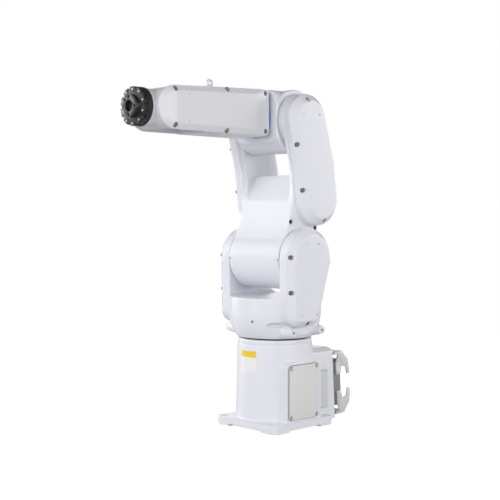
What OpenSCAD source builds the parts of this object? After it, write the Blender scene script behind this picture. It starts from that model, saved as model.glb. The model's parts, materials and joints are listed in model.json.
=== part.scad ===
// Small six-axis industrial robot arm, one module for each sub-part.
// Millimetres, +Z up, origin on the first axis at the mounting face, +X along the level forearm.

/* [View] */
// Sub-part to show

/* [Axes] */
// Height of the shoulder axis above the mounting face
shoulder_h = 330; // [325:1:336]
// Shoulder axis to elbow axis
upper_arm_l = 266; // [260:1:276]
// Height of the forearm axis above the elbow axis
elbow_rise = 8; // [6:0.5:10]
// Elbow axis to wrist axis
forearm_l = 290; // [284:1:300]
// Wrist axis to the tool flange's face
wrist_l = 70; // [69:0.5:74]
// Gap between the faces that turn against each other at a joint
seat_gap = 0.3; // [0.2:0.05:0.5]

/* [Base] */
// Side of the square mounting plate
plate_side = 168; // [162:1:180]
// Corner radius of the mounting plate
plate_corner_r = 14; // [8:1:18]
// Height of the mounting plate's top
plate_top = 17; // [14:0.5:20]
// Height of the four feet under the plate
foot_h = 4; // [2:0.5:6]
// Side of each square foot
foot_side = 40; // [34:1:48]
// Distance between neighbouring mounting holes
mount_pitch = 140; // [136:1:144]
// Diameter of the mounting holes
mount_hole_d = 9; // [7:0.5:11]
// Diameter of the spot face round each mounting hole
spot_face_d = 19; // [16:0.5:22]
// Depth of the spot face
spot_face_depth = 1; // [0.5:0.25:2]
// Column radius at the plate
column_low_r = 78; // [76:0.5:79]
// Column radius under its top ring
column_high_r = 74.5; // [73:0.5:76]
// Height of the shoulder axis above the step in the column
turret_rise = 165; // [160:0.5:170]
// Height of the column's top ring
column_ring_h = 9; // [6:0.5:10]
// How far the top ring stands in from the column
column_ring_in = 1.5; // [1:0.25:3]
// Radius of the first axis' bearing ring
turn_bearing_r = 66; // [60:0.5:68]
// Height of the dark seam under the turret
turn_seam_h = 3; // [2:0.25:4]

/* [Base side box] */
// Front of the side box along X
side_box_front = 48; // [44:0.5:52]
// Rear edge of the side box
side_box_back = -50; // [-54:0.5:-46]
// Top of the side box below the step in the column
side_box_drop = 34; // [30:0.5:40]
// Outer face of the side box
side_box_face = 79; // [77:0.5:81]
// Corner radius of the side box
side_box_r = 9; // [7:0.5:14]
// Width of the rim left round the side cover
side_cover_rim = 4.5; // [3:0.5:6]
// Extra width of the rim behind the side cover
side_cover_rear = 6; // [3:0.5:9]
// Extra rim of the side box in front of its cover
side_cover_front = 2; // [0:0.5:4]
// Thickness of the side cover
side_cover_t = 3; // [2:0.25:4]

/* [Base rear box] */
// Edge of the rear box below the step in the column
rear_drop = 24; // [20:0.5:28]
// Rise of the rear box's roof over its side walls
roof_rise = 8; // [6:0.5:10]
// Half width of the flat of the roof
roof_half_w = 40; // [34:0.5:46]
// Underside of the rear box
rear_low_z = 4; // [3:0.5:8]
// Rear face at the top
rear_top_x = -113; // [-118:0.5:-108]
// Rear face at the underside
rear_low_x = -121; // [-128:0.5:-119]
// Half width of the rear box
rear_half_w = 57; // [54:0.5:60]
// Edge radius of the rear box's upright corners
rear_corner_r = 8; // [5:0.5:12]
// Thickness of the rear panel
panel_t = 3; // [2:0.25:4]
// Width of the rear panel
panel_w = 98; // [92:1:104]
// Gap between the rear panel and the floor
panel_foot = 11; // [8:0.5:16]
// Distance of the rear panel's top edge below the box's top
panel_drop = 6; // [4:0.5:10]

/* [Cable socket] */
// Sideways place of the socket
socket_y = 22; // [16:0.5:26]
// How far the socket sits below the panel's middle
socket_low = 3; // [0:0.5:6]
// Panel left above and below the socket
socket_margin = 14; // [11:0.5:18]
// Width of the socket
socket_w = 42; // [38:0.5:46]
// Depth of the socket
socket_depth = 29; // [26:0.5:32]
// Wall thickness of the socket
socket_wall = 4; // [3:0.25:5]
// Thickness of the socket's flange
socket_flange_t = 4; // [3:0.25:5]
// How far the flange stands out past the socket's ends
socket_flange_lip = 9; // [6:0.5:10]
// Depth of the contact insert
insert_depth = 14; // [10:0.5:18]
// Gap round the contact insert
insert_gap = 0.25; // [0.2:0.05:0.4]
// Latch pivot out from the rear panel
latch_pivot_out = 23; // [20:0.5:26]
// Thickness of a latch's side plates
latch_plate_t = 2.5; // [2:0.25:3.5]
// Radius of a latch's pivot pins
latch_pin_r = 3; // [2.5:0.25:4]
// Gap between latch and socket
latch_gap = 0.4; // [0.3:0.05:0.6]
// Length of a latch's handle
latch_handle_l = 26; // [22:0.5:28]
// Thickness of a latch's handle
latch_handle_t = 5; // [3:0.25:6]

/* [Turret] */
// Turret radius at its lower edge
turret_low_r = 75; // [74:0.5:76]
// Turret radius at the yoke
turret_r = 91; // [89:0.5:93]
// Height of the bowl's curve
bowl_h = 48; // [44:0.5:52]
// Inner face of the yoke's ears
yoke_in = 70; // [69:0.25:71.5]
// Half width of the bowl across its side flats
bowl_half_w = 80; // [79:0.5:82]
// Outer face of the yoke's ears, where the shoulder covers sit
yoke_out = 91; // [89:0.5:93]
// Radius of the ears about the shoulder axis
ear_r = 59; // [57:0.5:60]
// Gap between the shoulder drum and the yoke's floor
yoke_floor_gap = 14; // [11:0.5:16]
// Corner radius of the gap between the ears
yoke_corner_r = 15; // [10:0.5:20]
// Front corner of the ears' lower end, forward of the axis
lobe_front = 33; // [30:0.5:36]
// Rear corner of the ears' lower end, behind the axis
lobe_back = 4; // [0:0.5:8]
// Corners of the ears' lower end, below the shoulder axis
lobe_drop = 104; // [98:0.5:106]
// Corner radius of the ears' lower end
lobe_r = 24; // [20:0.5:28]
// Outer face of the shoulder covers
shoulder_face = 103; // [100:0.5:106]
// Bevel of the shoulder covers
shoulder_bevel = 11; // [8:0.5:11]
// Place of the threaded side bosses along X
boss_x = 40; // [36:0.5:44]
// Height of the threaded bosses above the turret's foot
boss_rise = 14; // [12:0.5:17]
// Radius of the threaded side bosses at their face
boss_r = 8; // [7:0.25:9]
// Radius of the threaded side bosses at their foot
boss_foot_r = 14; // [11:0.25:14]
// Where the threaded side bosses start inside the bowl
boss_foot = 58; // [54:0.5:62]
// Outer face of the threaded bosses
boss_face = 91; // [89:0.5:95]
// Diameter of the bosses' threads
boss_thread_d = 6; // [5:0.5:8]
// Depth of the bosses' threads
boss_thread_depth = 14; // [10:0.5:18]
// Bearing of the milled pocket on the bowl
pocket_angle = 46; // [40:1:52]
// Height of the milled pocket above the turret's foot
pocket_rise = 29; // [25:0.5:33]
// Radius of the milled pocket
pocket_r = 6; // [5:0.25:8]
// Distance of the milled pocket's axis from the turning axis
pocket_x = 90.3; // [89.5:0.1:91]

/* [Upper arm] */
// Radius of the shoulder drum
drum_r = 60; // [58:0.5:61]
// Half length of the shoulder drum
drum_half = 68.5; // [67.5:0.25:69]
// Radius of the drum's bearing faces
drum_seat_r = 45; // [40:0.5:50]
// Inner face of the elbow fork
fork_in = 58; // [57:0.25:59]
// Outer face of the elbow fork
fork_out = 75; // [73:0.5:77]
// Radius of the elbow fork's heads
fork_r = 52; // [50:0.5:53]
// Step from the fork's heads in to the outer walls
fork_step = 1; // [0.5:0.25:2]
// Front of the arm's waist
waist_front = 19.5; // [17:0.5:22]
// Height of the waist above the shoulder axis
waist_h = 145; // [140:1:150]
// Radius of the arm's hollow front
waist_r = 230; // [220:5:245]
// Back of the arm's neck
neck_back = -50; // [-51:0.5:-44]
// Top of the web between the fork walls, above the shoulder axis
web_top = 163; // [158:0.5:168]
// Where the web's front slope starts
web_top_x = -5; // [-10:0.5:0]
// Where the web's front slope ends, forward
web_low_x = 50; // [46:0.5:54]
// Where the web's front slope ends, above the shoulder axis
web_low = 60; // [55:0.5:66]
// Bend of the arm covers, behind the arm's middle
bend_x = -24.5; // [-27:0.5:-20]
// Bend of the arm covers, above the shoulder axis
bend_h = 180; // [172:1:186]
// Radius of the arm covers' bend
bend_r = 52; // [51.5:0.25:52.5]
// Belt lobe behind the arm's middle
belt_x = -32; // [-34:0.5:-28]
// Belt lobe above the shoulder axis
belt_h = 117; // [115:0.5:122]
// Radius of the belt lobe
belt_r = 53; // [51:0.25:53.5]
// How far the arm covers stand in from their walls
arm_cover_in = 1; // [0.5:0.25:2]
// Outer face of the arm covers
belt_face = 100; // [96:0.5:102]
// Bevel of the arm covers
belt_bevel = 13; // [8:0.5:16]

/* [Elbow] */
// Radius of the elbow drum
elbow_r = 61; // [59:0.5:62]
// Half length of the elbow drum
elbow_half = 56.5; // [55.5:0.25:57]
// Radius of the elbow's bearing faces
elbow_seat_r = 40; // [36:0.5:44]
// Half width of the elbow's nose
nose_half_w = 52; // [50:0.5:54]
// Half height of the elbow's nose about the forearm axis
nose_half_h = 51; // [48:0.5:52]
// Radius of the nose's long edges
nose_edge_r = 20; // [14:0.5:26]
// Front face of the elbow's nose
nose_x = 52; // [50:0.5:53]
// Radius of the coloured ring between elbow and forearm
ring_r = 43; // [40:0.5:47]

/* [Forearm] */
// Rear end of the forearm
forearm_back = 58; // [57.5:0.25:60]
// Height of the forearm's rear above its axis
forearm_top_h = 50.5; // [48:0.5:51]
// Depth of the forearm's rear below its axis
forearm_low_h = 40.5; // [40:0.25:42]
// Radius of the forearm's round end
forearm_tip_r = 40.5; // [39:0.25:42]
// Half width of the forearm over its covers
forearm_half_w = 50.5; // [49:0.25:51.5]
// Corner radius of the forearm's rear
forearm_corner_r = 14; // [10:0.5:18]
// Half width of the forearm casting between its drafted edges
forearm_flat = 33; // [28:0.5:36]
// How far the casting draws in up to its covers
forearm_draft = 2; // [1:0.25:3]
// Outer face of the forearm casting under the covers
forearm_seat = 42.5; // [42:0.25:44]
// Height of the forearm covers' bevel
forearm_bevel_h = 7.5; // [5:0.25:7.75]
// Width of the forearm covers' bevel along the roof and the belly
forearm_bevel_w = 10; // [7:0.5:12]
// Rear edge of the forearm covers' flat face
face_back = 96; // [90:0.5:102]
// Front edge of the forearm covers' flat face
face_front = 294; // [286:0.5:300]
// Corner radius of the forearm covers' flat face
face_corner_r = 5; // [3:0.25:7]
// Diameter of the two centre marks in a forearm cover
centre_mark_d = 3; // [2:0.25:4]
// Depth of the two centre marks
centre_mark_depth = 1.5; // [1:0.25:3]
// Half width of the slot for the wrist
slot_half = 39.5; // [39:0.25:40]
// Floor of the slot, behind the wrist axis
slot_back = 70; // [68:0.5:74]
// Place of the cable eye along the forearm
eye_x = 172.5; // [150:0.5:190]
// Outer radius of the cable eye
eye_r = 7; // [6:0.25:8]
// Hole diameter of the cable eye
eye_hole_d = 8; // [6:0.25:9]
// Thickness of the cable eye
eye_t = 5; // [4:0.25:7]
// Height of the cable eye's middle above the forearm
eye_h = 10; // [8.5:0.25:11]
// Length of the cable eye's foot
eye_foot_l = 22; // [18:0.5:26]
// Thickness of the cable eye's foot
eye_foot_t = 2.5; // [2:0.25:4]

/* [Cover screws] */
// Diameter of the pockets for the covers' screws
screw_pocket_d = 9; // [7.5:0.25:10]
// Wall left under a screw pocket
screw_floor = 2; // [1.5:0.25:3]

/* [Wrist] */
// Radius of the wrist drum
wrist_r = 37; // [35:0.5:38]
// Half length of the wrist drum
wrist_half = 38; // [37:0.25:38.5]
// Radius of the wrist's bearing faces
wrist_seat_r = 25; // [20:0.5:30]
// Radius of the wrist's nose
wrist_nose_r = 33; // [31:0.5:34]
// Front of the wrist's nose ahead of the wrist axis
wrist_nose_x = 43; // [42:0.5:44]
// Radius of the black ring on the wrist's nose
seal_r = 34.5; // [33.5:0.1:34.5]
// Thickness of the black ring on the wrist's nose
seal_t = 8; // [6:0.1:9]

/* [Tool flange] */
// Radius of the tool flange's rim
flange_r = 34.3; // [33:0.1:34.5]
// Thickness of the tool flange's rim
flange_t = 10.7; // [9:0.1:13.5]
// Diameter of the centring boss
boss_d = 40; // [38:0.5:42]
// Diameter of the centring bore
bore_d = 20; // [18:0.5:21]
// Depth of the centring bore
bore_depth = 8; // [6:0.5:9]
// Pitch circle of the tool screws
tool_pcd = 31.5; // [30:0.5:32]
// Number of tool screws
tool_screws = 4; // [3:1:4]
// Diameter of the tool screw holes
tool_hole_d = 4.2; // [4:0.1:4.6]
// Depth of the tool screw holes
tool_hole_depth = 9; // [6:0.5:10]
// Diameter of the dowel hole
dowel_d = 5; // [4:0.25:5]
// Depth of the dowel hole
dowel_depth = 6; // [5:0.5:8]
// Number of scallops in the rim
scallops = 10; // [8:1:12]
// Radius of a scallop
scallop_r = 3.4; // [2.5:0.1:4]
// Depth of the scallops
scallop_depth = 8; // [5:0.5:10]

/* [Hidden] */
$fn = 64;
PAINT = [0.90, 0.90, 0.93];
COVER = [0.82, 0.82, 0.81];
BLACK = [0.14, 0.14, 0.15];
GREY = [0.55, 0.55, 0.57];
BLUE = [0.22, 0.42, 0.65];
STEEL = [0.78, 0.79, 0.80];
// Facets round each end of a cover
ROUND_FN = 48;
// Thickness of the slab that ends a cover's bevel at its face
FACE_T = 1;
// Overlap that makes two solids of one casting meet
WELD = 6;
// Distance a cut runs past the face it opens
PAST = 5;

elbow_z = shoulder_h + upper_arm_l;
forearm_z = elbow_z + elbow_rise;
column_ring_z = shoulder_h - turret_rise;
side_box_top = column_ring_z - side_box_drop;
rear_top_z = column_ring_z - rear_drop;
panel_h = rear_top_z - panel_drop - panel_foot;
socket_h = panel_h - 2 * socket_margin;
socket_drop = panel_drop + panel_h / 2 + socket_low;
latch_pivot_h = socket_h / 4;
latch_reach = 5 / 12 * socket_h;
yoke_floor_z = shoulder_h - drum_r - yoke_floor_gap;
turret_z = column_ring_z + column_ring_h + turn_seam_h;
bowl_top_z = turret_z + bowl_h;
roof_slope = roof_rise / (rear_half_w - roof_half_w);
rear_lean = atan((rear_top_x - rear_low_x) / (rear_top_z - rear_low_z));
flange_back = wrist_nose_x + seal_t + seat_gap;
slot_front = forearm_l + forearm_tip_r + PAST;

// Lobed outlines as [x, z, r] of each end
EAR = [[0, 0, ear_r], [lobe_front, -lobe_drop, lobe_r], [-lobe_back, -lobe_drop, lobe_r]];
ARM_WALL = [
    [0, upper_arm_l, fork_r - fork_step], [bend_x, bend_h, bend_r], [belt_x, belt_h, belt_r]
];
FOREARM = [
    [forearm_back + forearm_corner_r, forearm_top_h - forearm_corner_r, forearm_corner_r],
    [forearm_back + forearm_corner_r, forearm_corner_r - forearm_low_h, forearm_corner_r],
    [forearm_l, 0, forearm_tip_r]
];

// Side plate of a latch about its pivot, as shares of its reach
LATCH = [
    [0.15, -0.175], [0.15, 0.4], [-0.075, 1], [-0.35, 1], [-0.8, 0.5],
    [-0.875, -0.2], [-0.675, -0.25], [-0.6, 0.125], [-0.275, 0.225], [-0.175, -0.175]
];
// Screw pockets of each cover as [x, z] from the axis that carries it
SHOULDER_SCREWS = [[54, 5], [53, -62], [9, -122], [-32, -74], [-53, -7]];
ARM_SCREWS = [[33, 218], [17, 132], [9, 304], [-40, 75], [-71, 152], [-58, 218]];
FOREARM_SCREWS = [[294, 31.5], [294, -31.5], [170, 40.5], [171, -35], [71, 41], [71, -30.5]];
FOREARM_MARKS = [[265, 24], [265, -23.5]];

function inset(ends, by) = [for (e = ends) [e[0], e[1], e[2] - by]];
// Bearing of the line that touches two circles on one side
function touch(a, b, side) =
    atan2(b[1] - a[1], b[0] - a[0]) + side * acos((a[2] - b[2]) / norm([b[0] - a[0], b[1] - a[1]]));
function on_rim(e, bearing) = [e[0] + e[2] * cos(bearing), e[1] + e[2] * sin(bearing)];

// Top of the forearm, level with its axis at zero
ROOF_BEARING = touch(FOREARM[0], FOREARM[2], 1);
BELLY_BEARING = touch(FOREARM[1], FOREARM[2], -1);
// Height of a corner circle that touches the outline's straight edge, drawn in, at a place along it
function tucked_z(e, bearing, x, in) = ((e[0] - x) * cos(bearing) + e[2] - in) / sin(bearing) + e[1];
FOREARM_FACE = [for (x = [face_back + face_corner_r, face_front - face_corner_r], k = [0, 1])
    [x, tucked_z(FOREARM[k], k == 0 ? ROOF_BEARING : BELLY_BEARING, x,
        forearm_draft + forearm_bevel_w + face_corner_r), face_corner_r]];
function roof_z(x) = let (a = on_rim(FOREARM[0], ROOF_BEARING)) a[1] - (x - a[0]) / tan(ROOF_BEARING);

module at_shoulder() { translate([0, 0, shoulder_h]) children(); }
module at_elbow() { translate([0, 0, elbow_z]) children(); }
module at_forearm() { translate([0, 0, forearm_z]) children(); }
module at_wrist() { translate([forearm_l, 0, forearm_z]) children(); }
module at_rear() { translate([rear_top_x, 0, rear_top_z]) rotate([0, rear_lean, 0]) children(); }
module at_socket() { at_rear() translate([-panel_t, socket_y, -socket_drop]) children(); }

// An outline in X and Z drawn out from y0 to y1
module along_y(y0, y1) {
    translate([0, y1, 0]) rotate([90, 0, 0]) linear_extrude(height = y1 - y0) children();
}
// An outline in Y and Z drawn out from x0 to x1
module along_x(x0, x1) {
    translate([x0, 0, 0]) rotate([90, 0, 90]) linear_extrude(height = x1 - x0) children();
}
module disc_y(r, y0, y1) { translate([0, y1, 0]) rotate([90, 0, 0]) cylinder(r = r, h = y1 - y0); }
module disc_x(r, x0, x1) { translate([x0, 0, 0]) rotate([0, 90, 0]) cylinder(r = r, h = x1 - x0); }

module rounded(w, h, r) {
    square([w - 2 * r, h], center = true);
    square([w, h - 2 * r], center = true);
    for (x = [-1, 1], y = [-1, 1]) translate([x * (w / 2 - r), y * (h / 2 - r)]) circle(r = r);
}

// Wall along a chain of lobes, each drawn to the next by a taut band
module lobed(ends, low, high, side) {
    for (i = [1:len(ends) - 1])
        hull() for (e = [ends[i - 1], ends[i]]) layer(e, [low, 0], [high, 0], side);
}

// Cover: a straight lip round one outline, then a bevel up to a face with its own outline
module bevelled(ends, seat, tops, face, rise, side) {
    hull() {
        for (e = ends) layer(e, [seat, 0], [face - rise, 0], side);
        for (t = tops) layer(t, [face - FACE_T, 0], [face, 0], side);
    }
}
// Round pockets sunk into a cover from its face down to a floor
module pocketed(places, d, floor, face, side) {
    difference() {
        children();
        for (p = places) translate([p[0], 0, p[1]])
            disc_y(d / 2, side > 0 ? floor : -face - PAST, side > 0 ? face + PAST : -floor);
    }
}
// One end's layer between two points, each a distance out and a distance in from the outline
module layer(e, low, high, side) {
    translate([e[0], side * low[0], e[1]]) rotate([-side * 90, 0, 0])
        cylinder(r1 = e[2] - low[1], r2 = e[2] - high[1], h = high[0] - low[0], $fn = ROUND_FN);
}

module base_casting() color(PAINT) {
    difference() {
        union() {
            plate();
            translate([0, 0, plate_top])
                cylinder(r1 = column_low_r, r2 = column_high_r, h = column_ring_z - plate_top);
            translate([0, 0, column_ring_z - WELD])
                cylinder(r = column_high_r - column_ring_in, h = column_ring_h + WELD);
            side_box();
            rear_box();
        }
        for (x = [-1, 1], y = [-1, 1]) translate([x * mount_pitch / 2, y * mount_pitch / 2, 0]) {
            translate([0, 0, -PAST]) cylinder(d = mount_hole_d, h = plate_top + 2 * PAST);
            translate([0, 0, plate_top - spot_face_depth]) cylinder(d = spot_face_d, h = PAST);
        }
    }
}
module plate() {
    clear = plate_side - 2 * foot_side;
    difference() {
        linear_extrude(height = plate_top) rounded(plate_side, plate_side, plate_corner_r);
        translate([0, 0, foot_h / 2 - PAST / 2]) {
            cube([plate_side + 2 * PAST, clear, foot_h + PAST], center = true);
            cube([clear, plate_side + 2 * PAST, foot_h + PAST], center = true);
        }
    }
}
module side_box() {
    w = side_box_front - side_box_back;
    h = side_box_top - plate_top;
    along_y(WELD, side_box_face) translate([side_box_back + w / 2, plate_top + h / 2]) {
        rounded(w, h, side_box_r);
        translate([0, -side_box_r / 2]) square([w, h - side_box_r], center = true);
    }
}
module rear_box() {
    roof_z = rear_top_z + roof_rise;
    intersection() {
        along_y(-rear_half_w, rear_half_w) polygon([
            [0, plate_top - WELD], [0, roof_z], [rear_top_x + roof_rise / 2, roof_z],
            [rear_top_x, rear_top_z + roof_rise / 2], [rear_low_x, rear_low_z],
            [-plate_side / 2 + WELD, rear_low_z], [-plate_side / 2 + WELD, plate_top - WELD]
        ]);
        along_x(2 * rear_low_x, PAST) polygon([
            [-rear_half_w - PAST, -PAST], [rear_half_w + PAST, -PAST],
            [rear_half_w + PAST, rear_top_z - roof_slope * PAST], [roof_half_w, roof_z],
            [-roof_half_w, roof_z], [-rear_half_w - PAST, rear_top_z - roof_slope * PAST]
        ]);
        translate([rear_low_x - rear_top_x, 0, 0]) rotate([0, rear_lean, 0]) rear_corners();
    }
}
// Upright prism that rounds the rear box's two upright corners
module rear_corners() {
    translate([rear_top_x / 2, 0, -PAST]) linear_extrude(height = rear_top_z + roof_rise + 4 * PAST)
        rounded(-rear_top_x, 2 * rear_half_w, rear_corner_r);
}

module turn_bearing() color(BLACK)
    translate([0, 0, column_ring_z + column_ring_h])
        cylinder(r = turn_bearing_r, h = turn_seam_h - seat_gap);

module base_cover() color(COVER) {
    w = side_box_front - side_cover_front - side_box_back - side_cover_rear - 2 * side_cover_rim;
    middle = (side_box_front - side_cover_front + side_box_back + side_cover_rear) / 2;
    h = side_box_top - plate_top - 2 * side_cover_rim;
    along_y(side_box_face, side_box_face + side_cover_t)
        translate([middle, (side_box_top + plate_top) / 2])
            rounded(w, h, side_box_r - side_cover_rim);
}

module rear_panel() color(PAINT)
    at_rear() translate([-panel_t, -panel_w / 2, -panel_drop - panel_h])
        cube([panel_t, panel_w, panel_h]);

module socket_shell() color(GREY) at_socket() difference() {
    union() {
        along_x(-socket_flange_t, 0) rounded(socket_w, socket_h + 2 * socket_flange_lip, side_box_r);
        along_x(-socket_depth, 0) rounded(socket_w, socket_h, side_box_r);
    }
    along_x(-socket_depth - PAST, PAST)
        square([socket_w - 2 * socket_wall, socket_h - 2 * socket_wall], center = true);
}
module socket_insert() color(BLACK) {
    margin = 2 * (socket_wall + insert_gap);
    at_socket() along_x(-insert_depth, 0) square([socket_w - margin, socket_h - margin], center = true);
}

// Latch about its own pivot: two hooked side plates, their pins and the handle bar
module latch(up) {
    inner = socket_w / 2 + latch_gap;
    for (s = [-1, 1]) {
        along_y(s > 0 ? inner : -inner - latch_plate_t, s > 0 ? inner + latch_plate_t : -inner)
            polygon([for (p = LATCH) latch_reach * [p[0], up * p[1]]]);
        disc_y(2 * latch_pin_r, s > 0 ? inner + latch_plate_t - 1 : -inner - latch_plate_t - 1,
            s > 0 ? inner + latch_plate_t + 1 : -inner - latch_plate_t + 1);
    }
    translate([-latch_pin_r, 0, up * (latch_reach - latch_handle_t / 2)])
        cube([latch_handle_l, 2 * (inner + latch_plate_t), latch_handle_t], center = true);
}
module latch_upper() color(STEEL)
    at_socket() translate([panel_t - latch_pivot_out, 0, latch_pivot_h]) latch(1);
module latch_lower() color(STEEL)
    at_socket() translate([panel_t - latch_pivot_out, 0, -latch_pivot_h]) latch(-1);

// Half section of the turned turret: a bowl that runs into an upright wall
module turret_section() {
    rise = bowl_top_z - turret_z;
    run = turret_r - turret_low_r;
    bowl_r = (rise * rise + run * run) / (2 * run);
    intersection() {
        translate([turret_r - bowl_r, bowl_top_z]) circle(r = bowl_r, $fn = 128);
        translate([0, turret_z]) square([turret_r + PAST, rise]);
    }
    translate([0, bowl_top_z]) square([turret_r, yoke_floor_z + yoke_corner_r - bowl_top_z]);
}
module turret_casting() color(PAINT) difference() {
    union() {
        difference() {
            intersection() {
                rotate_extrude() turret_section();
                translate([0, 0, turret_z + turret_r])
                    cube([3 * turret_r, 2 * bowl_half_w, 3 * turret_r], center = true);
            }
            along_x(-turret_r - PAST, turret_r + PAST) yoke_gap();
        }
        ear(1);
        ear(-1);
        for (s = [-1, 1], x = [-boss_x, boss_x])
            translate([x, s * boss_foot, turret_z + boss_rise]) rotate([-s * 90, 0, 0])
                cylinder(r1 = boss_foot_r, r2 = boss_r, h = boss_face - boss_foot);
    }
    for (s = [-1, 1], x = [-boss_x, boss_x])
        translate([x, s * (boss_face + PAST), turret_z + boss_rise]) rotate([s * 90, 0, 0])
            cylinder(d = boss_thread_d, h = boss_thread_depth + PAST);
    rotate([0, 0, pocket_angle]) translate([pocket_x, 0, turret_z + pocket_rise])
        disc_y(pocket_r, -turret_r / 2, turret_r / 2);
}
// Ear of the yoke
module ear(side) { at_shoulder() hull() for (e = EAR) layer(e, [yoke_in, 0], [yoke_out, 0], side); }
module yoke_gap() {
    high = shoulder_h + ear_r + 2 * PAST;
    translate([-yoke_in, yoke_floor_z + yoke_corner_r])
        square([2 * yoke_in, high - yoke_floor_z - yoke_corner_r]);
    translate([yoke_corner_r - yoke_in, yoke_floor_z])
        square([2 * (yoke_in - yoke_corner_r), high - yoke_floor_z]);
    for (s = [-1, 1]) translate([s * (yoke_in - yoke_corner_r), yoke_floor_z + yoke_corner_r])
        circle(r = yoke_corner_r);
}
module shoulder_cover(side) {
    at_shoulder() pocketed(SHOULDER_SCREWS, screw_pocket_d, yoke_out + screw_floor, shoulder_face, side)
        bevelled(EAR, yoke_out, inset(EAR, shoulder_bevel), shoulder_face, shoulder_bevel, side);
}
module shoulder_cover_left() color(PAINT) shoulder_cover(1);
module shoulder_cover_right() color(PAINT) shoulder_cover(-1);

// Side view of the arm's neck, with its hollow front
module neck_outline() {
    difference() {
        translate([neck_back, 0]) square([fork_r - 2 * fork_step - neck_back, upper_arm_l]);
        translate([waist_front + waist_r, waist_h]) circle(r = waist_r, $fn = 256);
    }
}
module upper_arm_casting() color(PAINT) at_shoulder() {
    difference() {
        union() {
            disc_y(drum_r, -drum_half, drum_half);
            translate([0, 0, upper_arm_l]) disc_y(fork_r, -drum_half, drum_half);
            along_y(-drum_half, drum_half) neck_outline();
            lobed(ARM_WALL, drum_half - WELD / 3, fork_out, 1);
            lobed(ARM_WALL, drum_half - WELD / 3, fork_out, -1);
        }
        along_y(-fork_in, fork_in) polygon([
            [-2 * turret_r, web_top], [web_top_x, web_top],
            [web_low_x, web_low], [2 * turret_r, web_low],
            [2 * turret_r, upper_arm_l + 2 * fork_r], [-2 * turret_r, upper_arm_l + 2 * fork_r]
        ]);
    }
    disc_y(drum_seat_r, -yoke_in + seat_gap, yoke_in - seat_gap);
}
// Cover of an arm wall: one run from the head to the bend, one from the bend to the lobe
module arm_cover(side) {
    lip = inset(ARM_WALL, arm_cover_in);
    top = inset(lip, belt_bevel);
    floor = belt_face - belt_bevel + screw_floor;
    at_shoulder() pocketed(ARM_SCREWS, screw_pocket_d, floor, belt_face, side) {
        bevelled([lip[0], lip[1]], fork_out, [top[0], top[1]], belt_face, belt_bevel, side);
        bevelled([lip[1], lip[2]], fork_out, [top[1], top[2]], belt_face, belt_bevel, side);
    }
}
module belt_cover() color(PAINT) arm_cover(1);
module plain_cover() color(PAINT) arm_cover(-1);

module elbow_housing() color(PAINT) {
    difference() {
        union() {
            at_elbow() disc_y(elbow_r, -elbow_half, elbow_half);
            at_forearm() along_x(0, nose_x) rounded(2 * nose_half_w, 2 * nose_half_h, nose_edge_r);
        }
        translate([nose_x, -elbow_half - PAST, elbow_z - elbow_r])
            cube([elbow_r, 2 * (elbow_half + PAST), 2 * elbow_r]);
    }
    at_elbow() disc_y(elbow_seat_r, -fork_in + seat_gap, fork_in - seat_gap);
}
module forearm_ring() color(BLUE) at_forearm() disc_x(ring_r, nose_x, forearm_back - seat_gap);

module forearm_casting() color(PAINT) at_forearm() difference() {
    hull() for (e = FOREARM) {
        layer(e, [-forearm_flat, 0], [forearm_flat, 0], 1);
        for (s = [-1, 1]) layer(e, [forearm_flat, 0], [forearm_seat, forearm_draft], s);
    }
    translate([forearm_l - slot_back, -slot_half, -forearm_top_h])
        cube([slot_front - forearm_l + slot_back, 2 * slot_half, 2 * forearm_top_h]);
}
module forearm_cover(side) {
    at_forearm()
        pocketed(FOREARM_MARKS, centre_mark_d, forearm_half_w - centre_mark_depth, forearm_half_w, side)
            pocketed(FOREARM_SCREWS, screw_pocket_d, forearm_seat + screw_floor, forearm_half_w, side)
                bevelled(inset(FOREARM, forearm_draft), forearm_seat, FOREARM_FACE, forearm_half_w,
                    forearm_bevel_h, side);
}
module forearm_cover_left() color(COVER) forearm_cover(1);
module forearm_cover_right() color(COVER) forearm_cover(-1);
module cable_eye() color(STEEL)
    at_forearm() translate([eye_x, 0, roof_z(eye_x)]) rotate([0, 90 - ROOF_BEARING, 0]) difference() {
        union() {
            translate([0, 0, eye_h]) disc_y(eye_r, -eye_t / 2, eye_t / 2);
            translate([-eye_r, -eye_t / 2, 0]) cube([2 * eye_r, eye_t, eye_h]);
            translate([-eye_foot_l / 2, -eye_t, 0]) cube([eye_foot_l, 2 * eye_t, eye_foot_t]);
        }
        translate([0, 0, eye_h]) disc_y(eye_hole_d / 2, -eye_t, eye_t);
    }

module wrist_housing() color(COVER) at_wrist() {
    disc_y(wrist_r, -wrist_half, wrist_half);
    disc_x(wrist_nose_r, 0, wrist_nose_x);
    disc_y(wrist_seat_r, -slot_half + seat_gap, slot_half - seat_gap);
}
module wrist_ring() color(BLACK) at_wrist() disc_x(seal_r, wrist_nose_x, wrist_nose_x + seal_t);

module tool_flange() color(BLACK) at_wrist() difference() {
    union() {
        disc_x(flange_r, flange_back, flange_back + flange_t);
        disc_x(boss_d / 2, flange_back, wrist_l);
    }
    disc_x(bore_d / 2, wrist_l - bore_depth, wrist_l + PAST);
    for (k = [0 : tool_screws - 1])
        rotate([360 * k / tool_screws, 0, 0]) translate([0, tool_pcd / 2, 0])
            disc_x(tool_hole_d / 2, wrist_l - tool_hole_depth, wrist_l + PAST);
    rotate([135, 0, 0]) translate([0, tool_pcd / 2, 0])
        disc_x(dowel_d / 2, wrist_l - dowel_depth, wrist_l + PAST);
    for (k = [0 : scallops - 1])
        rotate([360 * k / scallops, 0, 0]) translate([0, flange_r, 0])
            disc_x(scallop_r, flange_back + flange_t - scallop_depth, flange_back + flange_t + PAST);
}

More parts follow.
